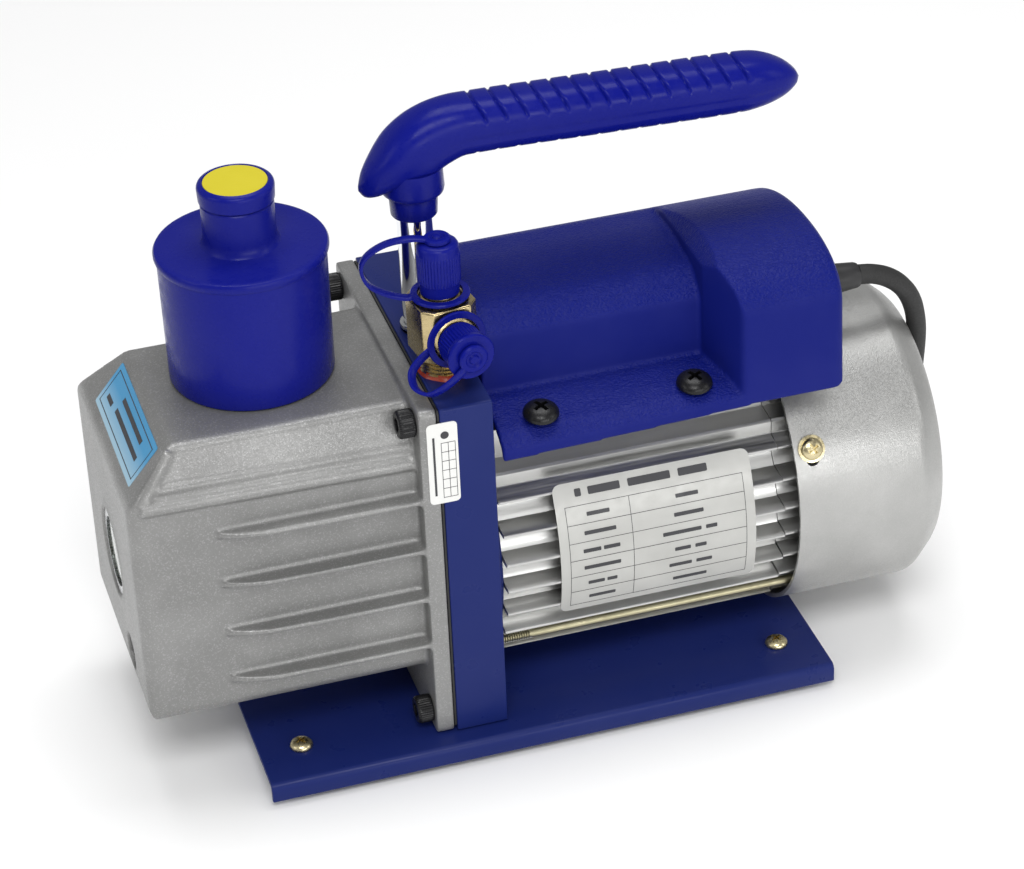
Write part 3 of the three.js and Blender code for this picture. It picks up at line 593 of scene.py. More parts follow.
def bevelled(bm, width, segments=2, angle=30):
    """Rounds each edge sharper than an angle."""
    bmesh.ops.dissolve_limit(bm, angle_limit=math.radians(1), verts=bm.verts, edges=bm.edges)
    sharp = [e for e in bm.edges if len(e.link_faces) == 2 and e.calc_face_angle(0) > math.radians(angle)]
    bmesh.ops.bevel(
        bm, geom=sharp, offset=width, segments=segments, profile=0.5, affect="EDGES", clamp_overlap=True,
    )
    return bm


def finished(name, bm, mat, look, replaces=(), body="frame", smooth=35):
    """Turns a bmesh in millimetres into a piece in metres, and puts it on its CAD body.
    """
    mesh = bpy.data.meshes.new(name)
    bm.to_mesh(mesh)
    bm.free()
    mesh.transform(Matrix.Scale(MM, 4))
    mesh.materials.append(mat[look])
    mesh.shade_smooth()
    mesh.set_sharp_from_angle(angle=math.radians(smooth))
    piece = bpy.data.objects.new(name, mesh)
    bpy.context.scene.collection.objects.link(piece)
    if body:
        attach(piece, body)
    if replaces:
        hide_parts(*replaces)
    return piece


def spline(points, steps=8):
    """A smooth line through the points (Catmull-Rom)."""
    points = [Vector(p) for p in points]
    padded = [points[0] * 2 - points[1], *points, points[-1] * 2 - points[-2]]
    line = []
    for a, b, c, d in zip(padded, padded[1:], padded[2:], padded[3:]):
        for k in range(steps):
            t = k / steps
            bend, twist = 2 * a - 5 * b + 4 * c - d, 3 * b - a - 3 * c + d
            line.append(0.5 * (2 * b + (c - a) * t + bend * t**2 + twist * t**3))
    return [*line, points[-1]]


def strap(line, width, thickness, across, steps=6):
    """A flat strap with rounded edges along a line; across is its rough width direction."""
    bm = bmesh.new()
    rings = []
    for i, here in enumerate(line):
        ahead = (line[min(i + 1, len(line) - 1)] - line[max(i - 1, 0)]).normalized()
        side = (Vector(across) - ahead * ahead.dot(Vector(across))).normalized()
        flat = ahead.cross(side)
        ring = []
        for k in range(2 * steps):
            angle = math.tau * k / (2 * steps)
            u, v = math.cos(angle), math.sin(angle)
            u = math.copysign(abs(u) ** 0.5, u) * width / 2
            v = math.copysign(abs(v) ** 0.5, v) * thickness / 2
            ring.append(bm.verts.new(here + side * u + flat * v))
        rings.append(ring)
    return skinned(bm, rings)


def towards(axis):
    """The rotation that takes +Z to an axis."""
    return Vector((0, 0, 1)).rotation_difference(Vector(axis)).to_matrix()


def cross_screw(radius, height, shank, length, reach=0.6):
    """A domed screw head with a cross recess, its seat at z = 0, on a short shank."""
    dome = [(0, -length), (shank, -length), (shank, 0), (radius * 0.97, 0), (radius, height * 0.12)]
    for k in range(1, 8):
        angle = math.pi / 2 * k / 7
        dome.append(
            (radius * math.cos(angle) ** 0.85 if k < 7 else 0, height * (0.12 + 0.88 * math.sin(angle)))
        )
    head = lathe(dome, "z", 40)
    arm, half = radius * reach * 0.85, radius * 0.115
    recess = [
        (-arm, -half), (-half, -half), (-half, -arm), (half, -arm), (half, -half), (arm, -half),
        (arm, half), (half, half), (half, arm), (-half, arm), (-half, half), (-arm, half),
    ]
    cutter = prism(recess, "z", height * 0.25, height + 2)
    return combined("DIFFERENCE", head, moved(cutter, turn=Matrix.Rotation(0.5, 3, "Z")))


# ------------------------------------------------------------ mains lead
CORD_ROUTE = [
    (128.6, -16, 146), (134.4, -16, 145.1), (140, -15.7, 142.7), (145.2, -15, 138.6), (149.6, -13.9, 132.8),
    (153, -12.2, 125), (155.3, -9.8, 114), (156.2, -6.4, 98), (156.4, -2.6, 80), (156.4, 1.4, 61),
    (156.2, 5.6, 44), (155.4, 10.8, 29.5), (153.2, 18, 17.6), (149.2, 27.6, 9.2), (143, 39.6, 5),
    (134.6, 53.6, 4.1), (116, 82, 4.1),
]
CORD_DIAMETER = 7.5
COIL = centre_of("cord_coil")
COIL_MIDDLE = 41
COIL_TURNS = 4.56
LAST_RISE = 4.32  # the turn where the free end starts to climb to the plug


def coil_points():
    """Turns wound beside and on each other: out, in, then a second layer, each a diameter from the last."""
    start = Vector((CORD_ROUTE[-1][0] - COIL.x, CORD_ROUTE[-1][1] - COIL.y))
    first = math.atan2(start.y, start.x)
    per_turn, step = 20, CORD_DIAMETER * 1.03
    columns = ((1, 0), (0, 0), (0, 1), (1, 1), (1, 1.9))
    points = []
    for k in range(int(per_turn * COIL_TURNS) + 1):
        turn = k / per_turn
        low, high = columns[min(int(turn), 4)], columns[min(int(turn) + 1, 4)]
        share = max(0.0, (turn % 1 - 0.6) / 0.4)
        share = share * share * (3 - 2 * share)
        radius = COIL_MIDDLE - step / 2 + step * (low[0] + (high[0] - low[0]) * share)
        height = CORD_DIAMETER / 2 + 0.3 + step * (low[1] + (high[1] - low[1]) * share) * 0.98
        rise = max(0.0, (turn - LAST_RISE) / (COIL_TURNS - LAST_RISE))
        rise = rise * rise * (3 - 2 * rise)
        radius, height = radius - 12 * rise, height + 13.5 * rise
        angle = first + 0.35 + math.tau * turn
        points.append((COIL.x + radius * math.cos(angle), COIL.y + radius * math.sin(angle), height))
    return points


def make_cord(mat):
    points = [Vector(p) for p in [*CORD_ROUTE, *coil_points()]]
    curve = bpy.data.curves.new("mains_lead", "CURVE")
    curve.dimensions, curve.bevel_depth, curve.bevel_resolution = "3D", CORD_DIAMETER / 2 * MM, 5
    curve.resolution_u, curve.use_fill_caps = 6, True
    track = curve.splines.new("BEZIER")
    track.bezier_points.add(len(points) - 1)
    for i, (knot, here) in enumerate(zip(track.bezier_points, points)):
        before, after = points[max(i - 1, 0)], points[min(i + 1, len(points) - 1)]
        tangent = (after - before).normalized()
        knot.co = here * MM
        knot.handle_left = (here - tangent * (here - before).length / 3) * MM
        knot.handle_right = (here + tangent * (after - here).length / 3) * MM
    curve.materials.append(mat["rubber"])
    lead = bpy.data.objects.new("mains_lead", curve)
    bpy.context.scene.collection.objects.link(lead)
    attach(lead, "frame")
    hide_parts("power_cord", "cord_coil")
    plug = make_plug(mat)
    ties = make_ties(mat)


def make_plug(mat):
    """A round two-pin plug that lies across the coil."""
    middle = centre_of("cord_plug")
    face = corners("cord_plug")[1].x - 20

    def flattened(angle, r, x):
        return r * (0.9 + 0.1 * abs(math.cos(angle)) ** 0.7) if r > 9 else r

    body = lathe([
        (0, 0), (15.4, 0), (16.6, -1.2), (16.8, -9), (16.2, -16), (12.8, -18.5), (10, -24), (7.6, -34),
        (5.6, -42), (4.4, -42.8), (0, -42.8),
    ], "x", 48, flattened, face)
    shells = [moved(body, (0, middle.y, middle.z))]
    for y in (-9.5, 9.5):
        pin = lathe([(0, -1), (2.4, -1), (2.4, 17), (1.8, 18.6), (0, 19)], "x", 24, start=face)
        shells.append(moved(pin, (0, middle.y + y, middle.z)))
    return finished("mains_plug", together(*shells), mat, "black_plastic", ["cord_plug"])


def make_ties(mat):
    """Two wire ties round the coil."""
    ties = []
    for number, angle in ((1, 2.2), (2, 4.0)):
        centre = Vector((COIL.x + COIL_MIDDLE * math.cos(angle), COIL.y + COIL_MIDDLE * math.sin(angle), 0))
        outward = Vector((math.cos(angle), math.sin(angle), 0))
        ring = []
        for k in range(33):
            a = math.tau * k / 32
            u, v = math.cos(a), math.sin(a)
            u, v = (math.copysign(abs(w) ** 0.45, w) for w in (u, v))
            ring.append(centre + outward * u * 8.0 + Vector((0, 0, 8.35 + v * 7.7)))
        tie = strap(ring, 2.2, 0.5, outward.cross(Vector((0, 0, 1))))
        ties.append(finished(f"coil_tie_{number}", tie, mat, "black_plastic"))
    return ties


# ------------------------------------------------------------ base, bracket and feet
def make_base(mat):
    low, high = corners("base_plate")
    seat = high.z + 0.2
    sheet, bend = 2.0, 2.6
    section = rounded([
        (low.y, low.z), (low.y + sheet, low.z), (low.y + sheet, high.z - sheet, 0.6),
        (high.y - sheet, high.z - sheet, 0.6), (high.y - sheet, low.z), (high.y, low.z),
        (high.y, high.z, bend), (low.y, high.z, bend),
    ], 5)
    finished(
        "base_sheet", bevelled(prism(section, "x", low.x, high.x), 0.45, 2, 50), mat, "blue_paint",
        ["base_plate"],
    )
    for number in (1, 2, 3, 4):
        low, high = corners(f"foot_screw_{number}")
        centre = (low + high) / 2
        screw = cross_screw((high.x - low.x) / 2, 2.9, 2.1, 6)
        finished(
            f"foot_screw_head_{number}", moved(screw, (centre.x, centre.y, seat)), mat, "zinc",
            [f"foot_screw_{number}"],
        )
        low, high = corners(f"rubber_foot_{number}")
        r, top = (high.x - low.x) / 2, high.z
        foot = lathe(
            [
                (2.6, 3), (2.6, 0.5), (3.1, 0), (r - 2, 0), (r - 0.6, 0.6), (r, 2), (r - 0.5, top),
                (2.6, top), (2.6, 3),
            ], "z", 40,
        )
        finished(
            f"foot_pad_{number}", moved(foot, (centre.x, centre.y, 0)), mat, "rubber",
            [f"rubber_foot_{number}"],
        )


def make_bracket(mat):
    low, high = BRACKET_LOW, BRACKET_HIGH
    right = corners("tank_gasket")[1].x + 19.2
    plate = prism(oblong(low.y, low.z, high.y, high.z, 1, 3), "x", low.x, right)
    plate = combined(
        "DIFFERENCE", plate,
        moved(cylinder(13, low.x - 5, right + 5, "x"), (0, 0, SHAFT_Z)),
        moved(cylinder(7.8, high.z - 8, high.z + 2, "z", 32), (TEE.x, TEE.y, 0)),
        moved(cylinder(ROD_HIGH.x - ROD.x + 0.4, high.z - 15, high.z + 2, "z", 32), (ROD.x, ROD.y, 0)),
    )
    boss = lathe(
        [
            (45, right - 0.5), (51, right - 0.5), (51, high.x - 0.6), (50.4, high.x), (45.5, high.x),
            (45, right - 0.5),
        ], "x", 96,
    )
    parts = together(bevelled(plate, 0.55, 3), moved(boss, (0, 0, SHAFT_Z)))
    finished("bracket_plate", parts, mat, "blue_paint", ["support_bracket"])


# ------------------------------------------------------------ oil tank
RIB_HEIGHTS = (112, 91.3, 70.7, 50.5)
END_SLOPE = ((-134.0, 146.2), (-150.6, 126.6))


def tank_rib(z, side):
    """A blade that starts flush with the wall and curves out towards the flange."""
    wall, depth, stop = 49, 7.6, TANK_HIGH.x - 5
    edge = []
    for k in range(13):
        t = k / 12
        edge.append((-122 + 24 * t, side * (wall + 1 + (depth - 1.4) * math.sin(math.pi / 2 * t) ** 0.6)))
    outline = [(-122, side * (wall - 3)), *edge, (stop, side * (wall + depth)), (stop, side * (wall - 3))]
    bm = prism(outline, "z", z - 1.45, z + 1.45)
    for vert in bm.verts:
        beyond = max(0.0, abs(vert.co.y) - wall) / depth
        vert.co.z = z + (vert.co.z - z) * (1 - 0.35 * beyond)
    return bm


def bead(start, end, radius):
    """A rounded ridge between two points."""
    line = [Vector(start).lerp(Vector(end), k / 12) for k in range(13)]
    return strap(line, 2 * radius, 2 * radius, Vector((0, 0.4, 1)), 8)


def make_tank(mat):
    left, right = TANK_LOW.x + 0.4, TANK_HIGH.x
    flange_left = right - 6.7
    section = rounded([
        (-50, 36, 6), (-50, 126.5, 2.5), (-42.8, 146.2, 4), (26, 146.2, 4), (50, 116, 5), (50, 36, 6),
    ], 6)
    box = prism(section, "x", left, flange_left + 2)
    side = rounded(
        [
            (36, left, 5), (36, flange_left + 2), (END_SLOPE[0][1], flange_left + 2),
            (146.3, END_SLOPE[0][0], 8), (END_SLOPE[1][1], left, 8),
        ], 6,
    )
    plan = rounded(
        [(left, -50.1, 6), (flange_left + 2, -50.1), (flange_left + 2, 50.1), (left, 50.1, 6)], 6,
    )
    body = combined("INTERSECT", box, prism(side, "y", -60, 60), prism(plan, "z", 20, 160))
    edge = [(-57, TANK_LOW.z, 2), (57, TANK_LOW.z, 2), (57, TANK_HIGH.z, 2.4), (-57, TANK_HIGH.z, 2.4)]
    flange = prism(rounded(edge, 4), "x", flange_left, right)
    shells = [body, flange]
    for z in RIB_HEIGHTS:
        shells += [tank_rib(z, -1), tank_rib(z, 1)]
    front, crest = -50.0, -43.6
    shells.append(bead((left + 4, front + 0.9, 126.8), (flange_left + 1, front + 0.9, 124.8), 2.3))
    shells.append(bead((left + 8, front + 2.6, 132.6), (flange_left + 1, front + 2.6, 130.8), 1.3))
    shells.append(bead((left + 4.6, front + 1.2, 127.4), (left + 17.6, crest + 1.0, 144.6), 1.9))
    shells.append(bead((left + 9.5, front + 2.7, 132.4), (left + 19.6, crest + 0.6, 143.0), 1.0))
    glass_z = centre_of("sight_glass").z
    collar = [(14, 2), (18.6, 2), (18.6, -0.2), (18, -0.4), (16, -0.4), (14, 2)]
    shells.append(moved(lathe(collar, "x", 64, start=left), (0, 0, glass_z)))
    whole = combined("UNION", *shells)
    drain = centre_of("drain_plug")
    pocket = [(0, -4), (16.2, -4), (16.2, 2.4), (14, 2.4), (14, 5), (0, 5)]
    cuts = [
        moved(lathe(pocket, "x", 64, start=left), (0, 0, glass_z)),
        moved(cylinder(6.7, left - 4, left + 6, "x", 40), (0, drain.y, drain.z)),
        moved(cylinder(12.8, 130, 150, "z"), EXHAUST),
    ]
    for number in (1, 2, 3, 4):
        screw = centre_of(f"tank_screw_{number}")
        cuts.append(moved(cylinder(5.6, flange_left - 9, flange_left, "x", 32), (0, screw.y, screw.z)))
    whole = combined("DIFFERENCE", whole, *cuts)
    finished("tank_casting", cast(whole, 0.75, 5), mat, "silver_paint", ["oil_tank"], smooth=80)

    window = moved(cylinder(13.8, left + 3, left + 4.6, "x"), (0, 0, glass_z))
    finished("oil_window", window, mat, "oil")
    profile = [(0, 0.9), (8, 1.0), (13, 1.3), (15.6, 1.9), (15.6, 2.5), (0, 2.5)]
    lens = lathe(profile, "x", 64, start=left)
    finished("sight_lens", moved(lens, (0, 0, glass_z)), mat, "glass", ["sight_glass"])
    profile = [(13, 0.6), (15.9, 0.6), (15.9, 2.2), (13.4, 1.9), (13, 0.6)]
    ring = lathe(profile, "x", 64, start=left)
    finished("sight_ring", moved(ring, (0, 0, glass_z)), mat, "steel")
    profile = [(0, 1), (5.6, 1), (6.1, 1.5), (6.1, 5.5), (4, 5.5), (4, 12), (0, 12)]
    head = lathe(profile, "x", 48, start=left)
    socket = prism(ngon(3.2, 6), "x", left - 1, left + 4)
    plug = combined("DIFFERENCE", head, socket)
    finished(
        "drain_screw", moved(plug, (0, drain.y, drain.z)), mat, "black_steel", ["drain_plug"], "drain_plug",
    )
    make_tank_screws(mat, flange_left)


def make_tank_screws(mat, seat):
    """Socket-head screws with a knurled rim."""

    def knurl(angle, r, x):
        return r + (0.12 * math.cos(36 * angle) if r > 4.7 and -5.6 < x < -0.5 else 0)

    for number in (1, 2, 3, 4):
        centre = centre_of(f"tank_screw_{number}")
        head = lathe(
            [
                (0, 8), (3, 8), (3, -0.3), (4.9, -0.3), (5, -0.6), (5, -1.4), (5, -4.6), (4.9, -5.4),
                (4.5, -6), (0, -6),
            ], "x", 144, knurl,
        )
        socket = prism(ngon(2.9, 6), "x", -8, -3)
        screw = combined("DIFFERENCE", head, socket)
        place = (seat, centre.y, centre.z)
        finished(
            f"socket_screw_{number}", moved(screw, place), mat, "black_steel", [f"tank_screw_{number}"],
        )


# ------------------------------------------------------------ exhaust filter
def make_exhaust(mat):
    foot, top = TANK_HIGH.z - 2.5, CUP_HIGH.z
    r_foot, r_top = 29.2, (CUP_HIGH.x - CUP_LOW.x) / 2
    cup = [
        (8, foot - 8), (11.9, foot - 8), (11.9, foot), (r_foot - 1.6, foot), (r_foot - 0.4, foot + 0.4),
        (r_foot, foot + 1.4),
    ]
    r_top -= 0.45
    cup += [
        (r_foot + (r_top - r_foot) * t, foot + 1.4 + (top - foot - 1.4) * t) for t in (0.25, 0.5, 0.75, 1)
    ]
    cup += [(r_top - 2, top), (r_foot - 2, foot + 2), (8, foot + 2), (8, foot - 8)]
    finished(
        "filter_cup", moved(lathe(cup, "z", 128), EXHAUST), mat, "blue_gloss", ["exhaust_housing"],
        "exhaust",
    )

    low, high = LID_LOW.z + 3.5, LID_HIGH.z - 17
    rim = (LID_HIGH.x - LID_LOW.x) / 2
    neck = 12.8
    lid = [
        (neck - 2, low + 1), (rim - 3.2, low + 1), (rim - 3.2, low - 3), (rim - 2.8, low + 0.1),
        (rim - 0.4, low + 0.1), (rim, low + 1.3), (rim, high - 1.1), (rim - 0.5, high - 0.3),
        (rim - 1.4, high), (rim - 3, high - 0.1), (neck + 3, high + 0.25), (neck + 1.2, high + 0.7),
        (neck + 0.3, high + 1.8), (neck, high + 4), (neck, high + 16.4), (neck - 0.5, high + 17),
        (neck - 2, high + 17), (neck - 2, low + 1),
    ]
    finished(
        "filter_lid", moved(lathe(lid, "z", 128), EXHAUST), mat, "blue_gloss", ["exhaust_lid"], "exhaust",
    )

    base, crown = LID_HIGH.z + 0.3, CAP_HIGH.z
    r = (CAP_HIGH.x - CAP_LOW.x) / 2 - 0.7
    cap = [(9, base - 9), (10.4, base - 9), (10.5, base), (r - 0.9, base), (r - 0.25, base + 0.4)]
    cap += [(r - 1.7 + 1.7 * math.cos(a), crown - 2.2 + 2 * math.sin(a)) for a in (0, 0.35, 0.7, 1.05, 1.4)]
    cap += [
        (r - 1.9, crown), (r - 2.3, crown - 0.5), (0, crown - 0.5), (0, base + 3), (9, base + 3),
        (9, base - 9),
    ]
    finished(
        "outlet_cap", moved(lathe(cap, "z", 96), EXHAUST), mat, "blue_gloss", ["exhaust_cap"],
        "exhaust_cap",
    )
    sticker = disc(r - 2.3, crown - 0.55, crown - 0.25, edge=0.1, segments=72)
    finished("cap_sticker", moved(sticker, EXHAUST), mat, "yellow_label", (), "exhaust_cap")


# ------------------------------------------------------------ inlet tee, caps and tethers
SIDE_PORT = Vector((TEE.x, TEE.y, centre_of("side_port_cap").z))
SIDE_TURN = Matrix.Rotation(math.atan2(SIDE_AXIS.x, -SIDE_AXIS.y), 3, "Z")


def knurled(profile, ribs, low, high, depth=0.32):
    """A turned cap with fine upright ribs between two heights."""

    def wave(angle, radius, along):
        inside = low < along < high and radius > 7.45
        return radius + (depth * (abs(math.sin(ribs * angle / 2)) - 0.6) if inside else 0)

    return lathe(profile, "z", ribs * 6, wave)


def thread(radius, low, high, pitch, depth=0.55):
    """A screw thread as a close stack of ridges."""
    points = [(radius - depth, low)]
    count = int((high - low) / pitch)
    for k in range(count):
        z = low + k * pitch
        points += [
            (radius - depth, z + 0.12 * pitch), (radius, z + 0.5 * pitch),
            (radius - depth, z + 0.88 * pitch),
        ]
    return [(0, low), *points, (radius - depth, high), (0, high)]


def make_inlet(mat):
    foot = BRACKET_HIGH.z
    half, corner = 10.5, 3.6
    outline = []
    for su, sv in ((1, -1), (1, 1), (-1, 1), (-1, -1)):
        pair = [(su * half, sv * (half - corner)), (su * (half - corner), sv * half)]
        outline += pair[::-1] if su * sv < 0 else pair
    body = bevelled(prism(outline, "z", foot + 8.2, foot + 28.6), 0.7, 3)
    body = moved(body, turn=SIDE_TURN)
    stem = lathe(thread(8.7, foot + 0.3, foot + 9, 1.45, 0.8), "z", 64)
    profile = [
        (0, 27), (7.9, 27), (7.9, 29.4), (6.6, 30.2), (6.2, 31.5), (6.2, 33), (5.6, 34), (5.6, 42),
        (4.6, 43),
        (3.6, 43), (3.6, 36), (0, 36),
    ]
    top = lathe(profile, "z", 64, start=foot)
    port = lathe(
        [
            (0, 9), (8.4, 9), (8.4, 11.9), (7, 12.6), (6.6, 13.4), (6.6, 20.4), (5.6, 21.1), (4.4, 21.1),
            (4.4, 12), (0, 12),
        ], "z", 64,
    )
    port = moved(port, (0, 0, SIDE_PORT.z), towards(SIDE_AXIS))
    finished(
        "brass_tee", moved(together(body, stem, top, port), (TEE.x, TEE.y, 0)), mat, "brass", ["inlet_tee"],
    )
    seal = lathe([(7.6, foot), (9.7, foot), (9.3, foot + 0.7), (8.2, foot + 1.5), (7.6, foot)], "z", 64,
                 lambda angle, r, z: r + 0.35 * math.sin(3 * angle) + 0.2 * math.sin(7 * angle + 1))
    finished("thread_sealant", moved(seal, (TEE.x, TEE.y, 0)), mat, "sealant")

    low, high = TOP_CAP_LOW.z, TOP_CAP_HIGH.z
    cap = [(5.9, low), (6.9, low), (7.0, low + 3.6), (7.3, low + 4.1), (7.5, low + 4.6)]
    cap += [(7.5, low + 4.6 + (high - low - 8.6) * k / 4) for k in range(1, 5)]
    cap += [
        (7.4, high - 3.8), (7.4, high - 1.4), (6.9, high - 0.5), (6, high), (0, high), (0, high - 4),
        (5.9, high - 4), (5.9, low),
    ]
    finished(
        "top_flare_cap", moved(knurled(cap, 40, low + 4.3, high - 3.9), (TEE.x, TEE.y, 0)), mat,
        "blue_gloss", ["top_port_cap"], "top_port_cap",
    )

    near, far = 13.9, 26.3
    cap = [(6.9, near), (7.4, near), (7.4, near + 1.2), (7.7, near + 1.6)]
    cap += [(7.7, near + 1.6 + 7.2 * k / 4) for k in range(1, 5)]
    cap += [
        (8.1, far - 3.2), (8.6, far - 2.4), (8.6, far - 0.9), (8.2, far - 0.4), (0, far - 0.4),
        (0, far - 2.6), (6.9, far - 2.6), (6.9, near),
    ]
    side = moved(knurled(cap, 40, near + 1.3, far - 3.4), SIDE_PORT, towards(SIDE_AXIS))
    finished("side_flare_cap", side, mat, "blue_gloss", ["side_port_cap"], "side_port_cap")


def button(radius, height):
    """A tether's end: a disc with a raised ring and a nub."""
    return lathe([
        (0, 0), (radius - 0.3, 0), (radius, 0.3), (radius, height - 0.5), (radius - 0.6, height),
        (radius * 0.62, height), (radius * 0.5, height - 0.5), (radius * 0.36, height - 0.5),
        (radius * 0.26, height + 0.2), (0, height + 0.45),
    ], "z", 40)


def make_tethers(mat):
    ring_z = TOP_CAP_LOW.z - 1.0
    crown = TOP_CAP_HIGH.z
    loop = spline([
        (TEE.x - 3.5, TEE.y + 0.2, crown + 1.3), (TEE.x - 9, TEE.y + 1.6, crown + 1.9),
        (TEE.x - 17, TEE.y + 4, crown + 0.2), (TEE.x - 23.5, TEE.y + 6, crown - 4.2),
        (TEE.x - 25.8, TEE.y + 6.8, crown - 9.5), (TEE.x - 23.8, TEE.y + 5.6, crown - 15.4),
        (TEE.x - 18, TEE.y + 3.2, ring_z + 1.4), (TEE.x - 12.6, TEE.y + 1.2, ring_z),
        (TEE.x - 9.6, TEE.y + 0.6, ring_z),
    ], 8)
    ring = lathe(
        [(8, -0.6), (10.2, -0.6), (10.5, -0.2), (10.5, 0.3), (10.2, 0.7), (8, 0.7), (8, -0.6)], "z", 64,
    )
    whole = together(
        strap(loop, 3.4, 1.4, Vector((0.1, 1, 0.05))),
        moved(ring, (TEE.x, TEE.y, ring_z)),
        moved(button(4.7, 1.9), (TEE.x, TEE.y, crown + 0.25)),
    )
    tether = finished("top_tether", whole, mat, "blue_gloss", ["top_cap_tether"], None)
    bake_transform(tether)

    out = 26.2
    face = SIDE_PORT + SIDE_AXIS * (out + 1.0)
    back = SIDE_PORT + SIDE_AXIS * 12.7
    loop = spline([
        face + Vector((-2.5, 0, -2.8)), face + Vector((-6.5, 0.3, -6.6)),
        face + Vector((-11.5, 2.4, -11.5)), face + Vector((-15.5, 5, -14)),
        face + Vector((-19, 8.4, -12.4)), back + Vector((-17.2, -3.2, -8)),
        back + Vector((-13.6, -1.4, -4.6)), back + Vector((-9.3, 0, -2.4)),
    ], 8)
    ring = moved(
        lathe(
            [(8.6, -0.7), (10.6, -0.7), (10.9, -0.3), (10.9, 0.3), (10.6, 0.7), (8.6, 0.7), (8.6, -0.7)],
            "z", 64,
        ), turn=towards(SIDE_AXIS),
    )
    end = moved(button(5.2, 1.8), turn=towards(SIDE_AXIS))
    whole = together(
        strap(loop, 3.6, 1.4, Vector((0.75, 0.4, -0.6))),
        moved(ring, back),
        moved(end, SIDE_PORT + SIDE_AXIS * out),
    )
    tether = finished("side_tether", whole, mat, "blue_gloss", ["side_cap_tether"], None)
    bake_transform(tether)


# ------------------------------------------------------------ handle
GRIP_TOP = [
    (-51.2, 209.3), (-49.6, 213.4), (-46, 219), (-40.5, 226.2), (-34, 231.6), (-27, 235), (-20, 236.6),
    (-13, 237), (40, 235.6), (88, 234.3), (97, 233.2), (104.5, 230), (109.4, 226), (111.3, 222.6),
]
GRIP_BOTTOM = [
    (-51.2, 207.4), (-49.6, 205.3), (-46, 205.2), (-40.5, 206.8), (-34, 207.6), (-27, 209.4), (-20, 213.6),
    (-13, 216), (40, 214.8), (88, 213.7), (97, 214.8), (104.5, 217), (109.4, 220), (111.3, 222.4),
]
GRIP_HALF_WIDTH = [
    (-51.2, 0.4), (-49.6, 3.6), (-46, 7), (-40.5, 9.6), (-34, 10.6), (-27, 10.7), (-20, 10.6), (-13, 10.5),
    (40, 10.5), (88, 10.4), (97, 9.6), (104.5, 7.2), (109.4, 3.8), (111.3, 0.4),
]
GROOVES = [-9.5 + 7.4 * k for k in range(14)]


def along_line(line, x):
    """The value at x of a smooth line through (x, value) points."""
    for i in range(len(line) - 1):
        (x0, v0), (x1, v1) = line[i], line[i + 1]
        if x <= x1 or i == len(line) - 2:
            t = (x - x0) / (x1 - x0)
            before = line[i - 1] if i else (x0 - (x1 - x0), v0 - (v1 - v0))
            after = line[i + 2] if i + 2 < len(line) else (x1 + (x1 - x0), v1 + (v1 - v0))
            m0 = (v1 - before[1]) / (x1 - before[0]) * (x1 - x0)
            m1 = (after[1] - v0) / (after[0] - x0) * (x1 - x0)
            ends = (2 * t**3 - 3 * t**2 + 1) * v0 + (3 * t**2 - 2 * t**3) * v1
            return ends + (t**3 - 2 * t**2 + t) * m0 + (t**3 - t**2) * m1


def clamped(share):
    return max(0.0, min(1.0, share))


def groove_depth(x, angle):
    """How far a groove presses in: across the crown, and more shallowly underneath."""
    rise = math.sin(angle)
    crown = clamped((rise - 0.24) / 0.22)
    under = clamped((-rise - 0.72) / 0.15)
    if not crown and not under:
        return 0.0
    slant = 4.2 * (1 - rise) if rise > 0 else 0.0
    depth = max(math.exp(-(((x - slant - centre) / 0.55) ** 2)) for centre in GROOVES)
    return depth * max(crown, 0.8 * under)


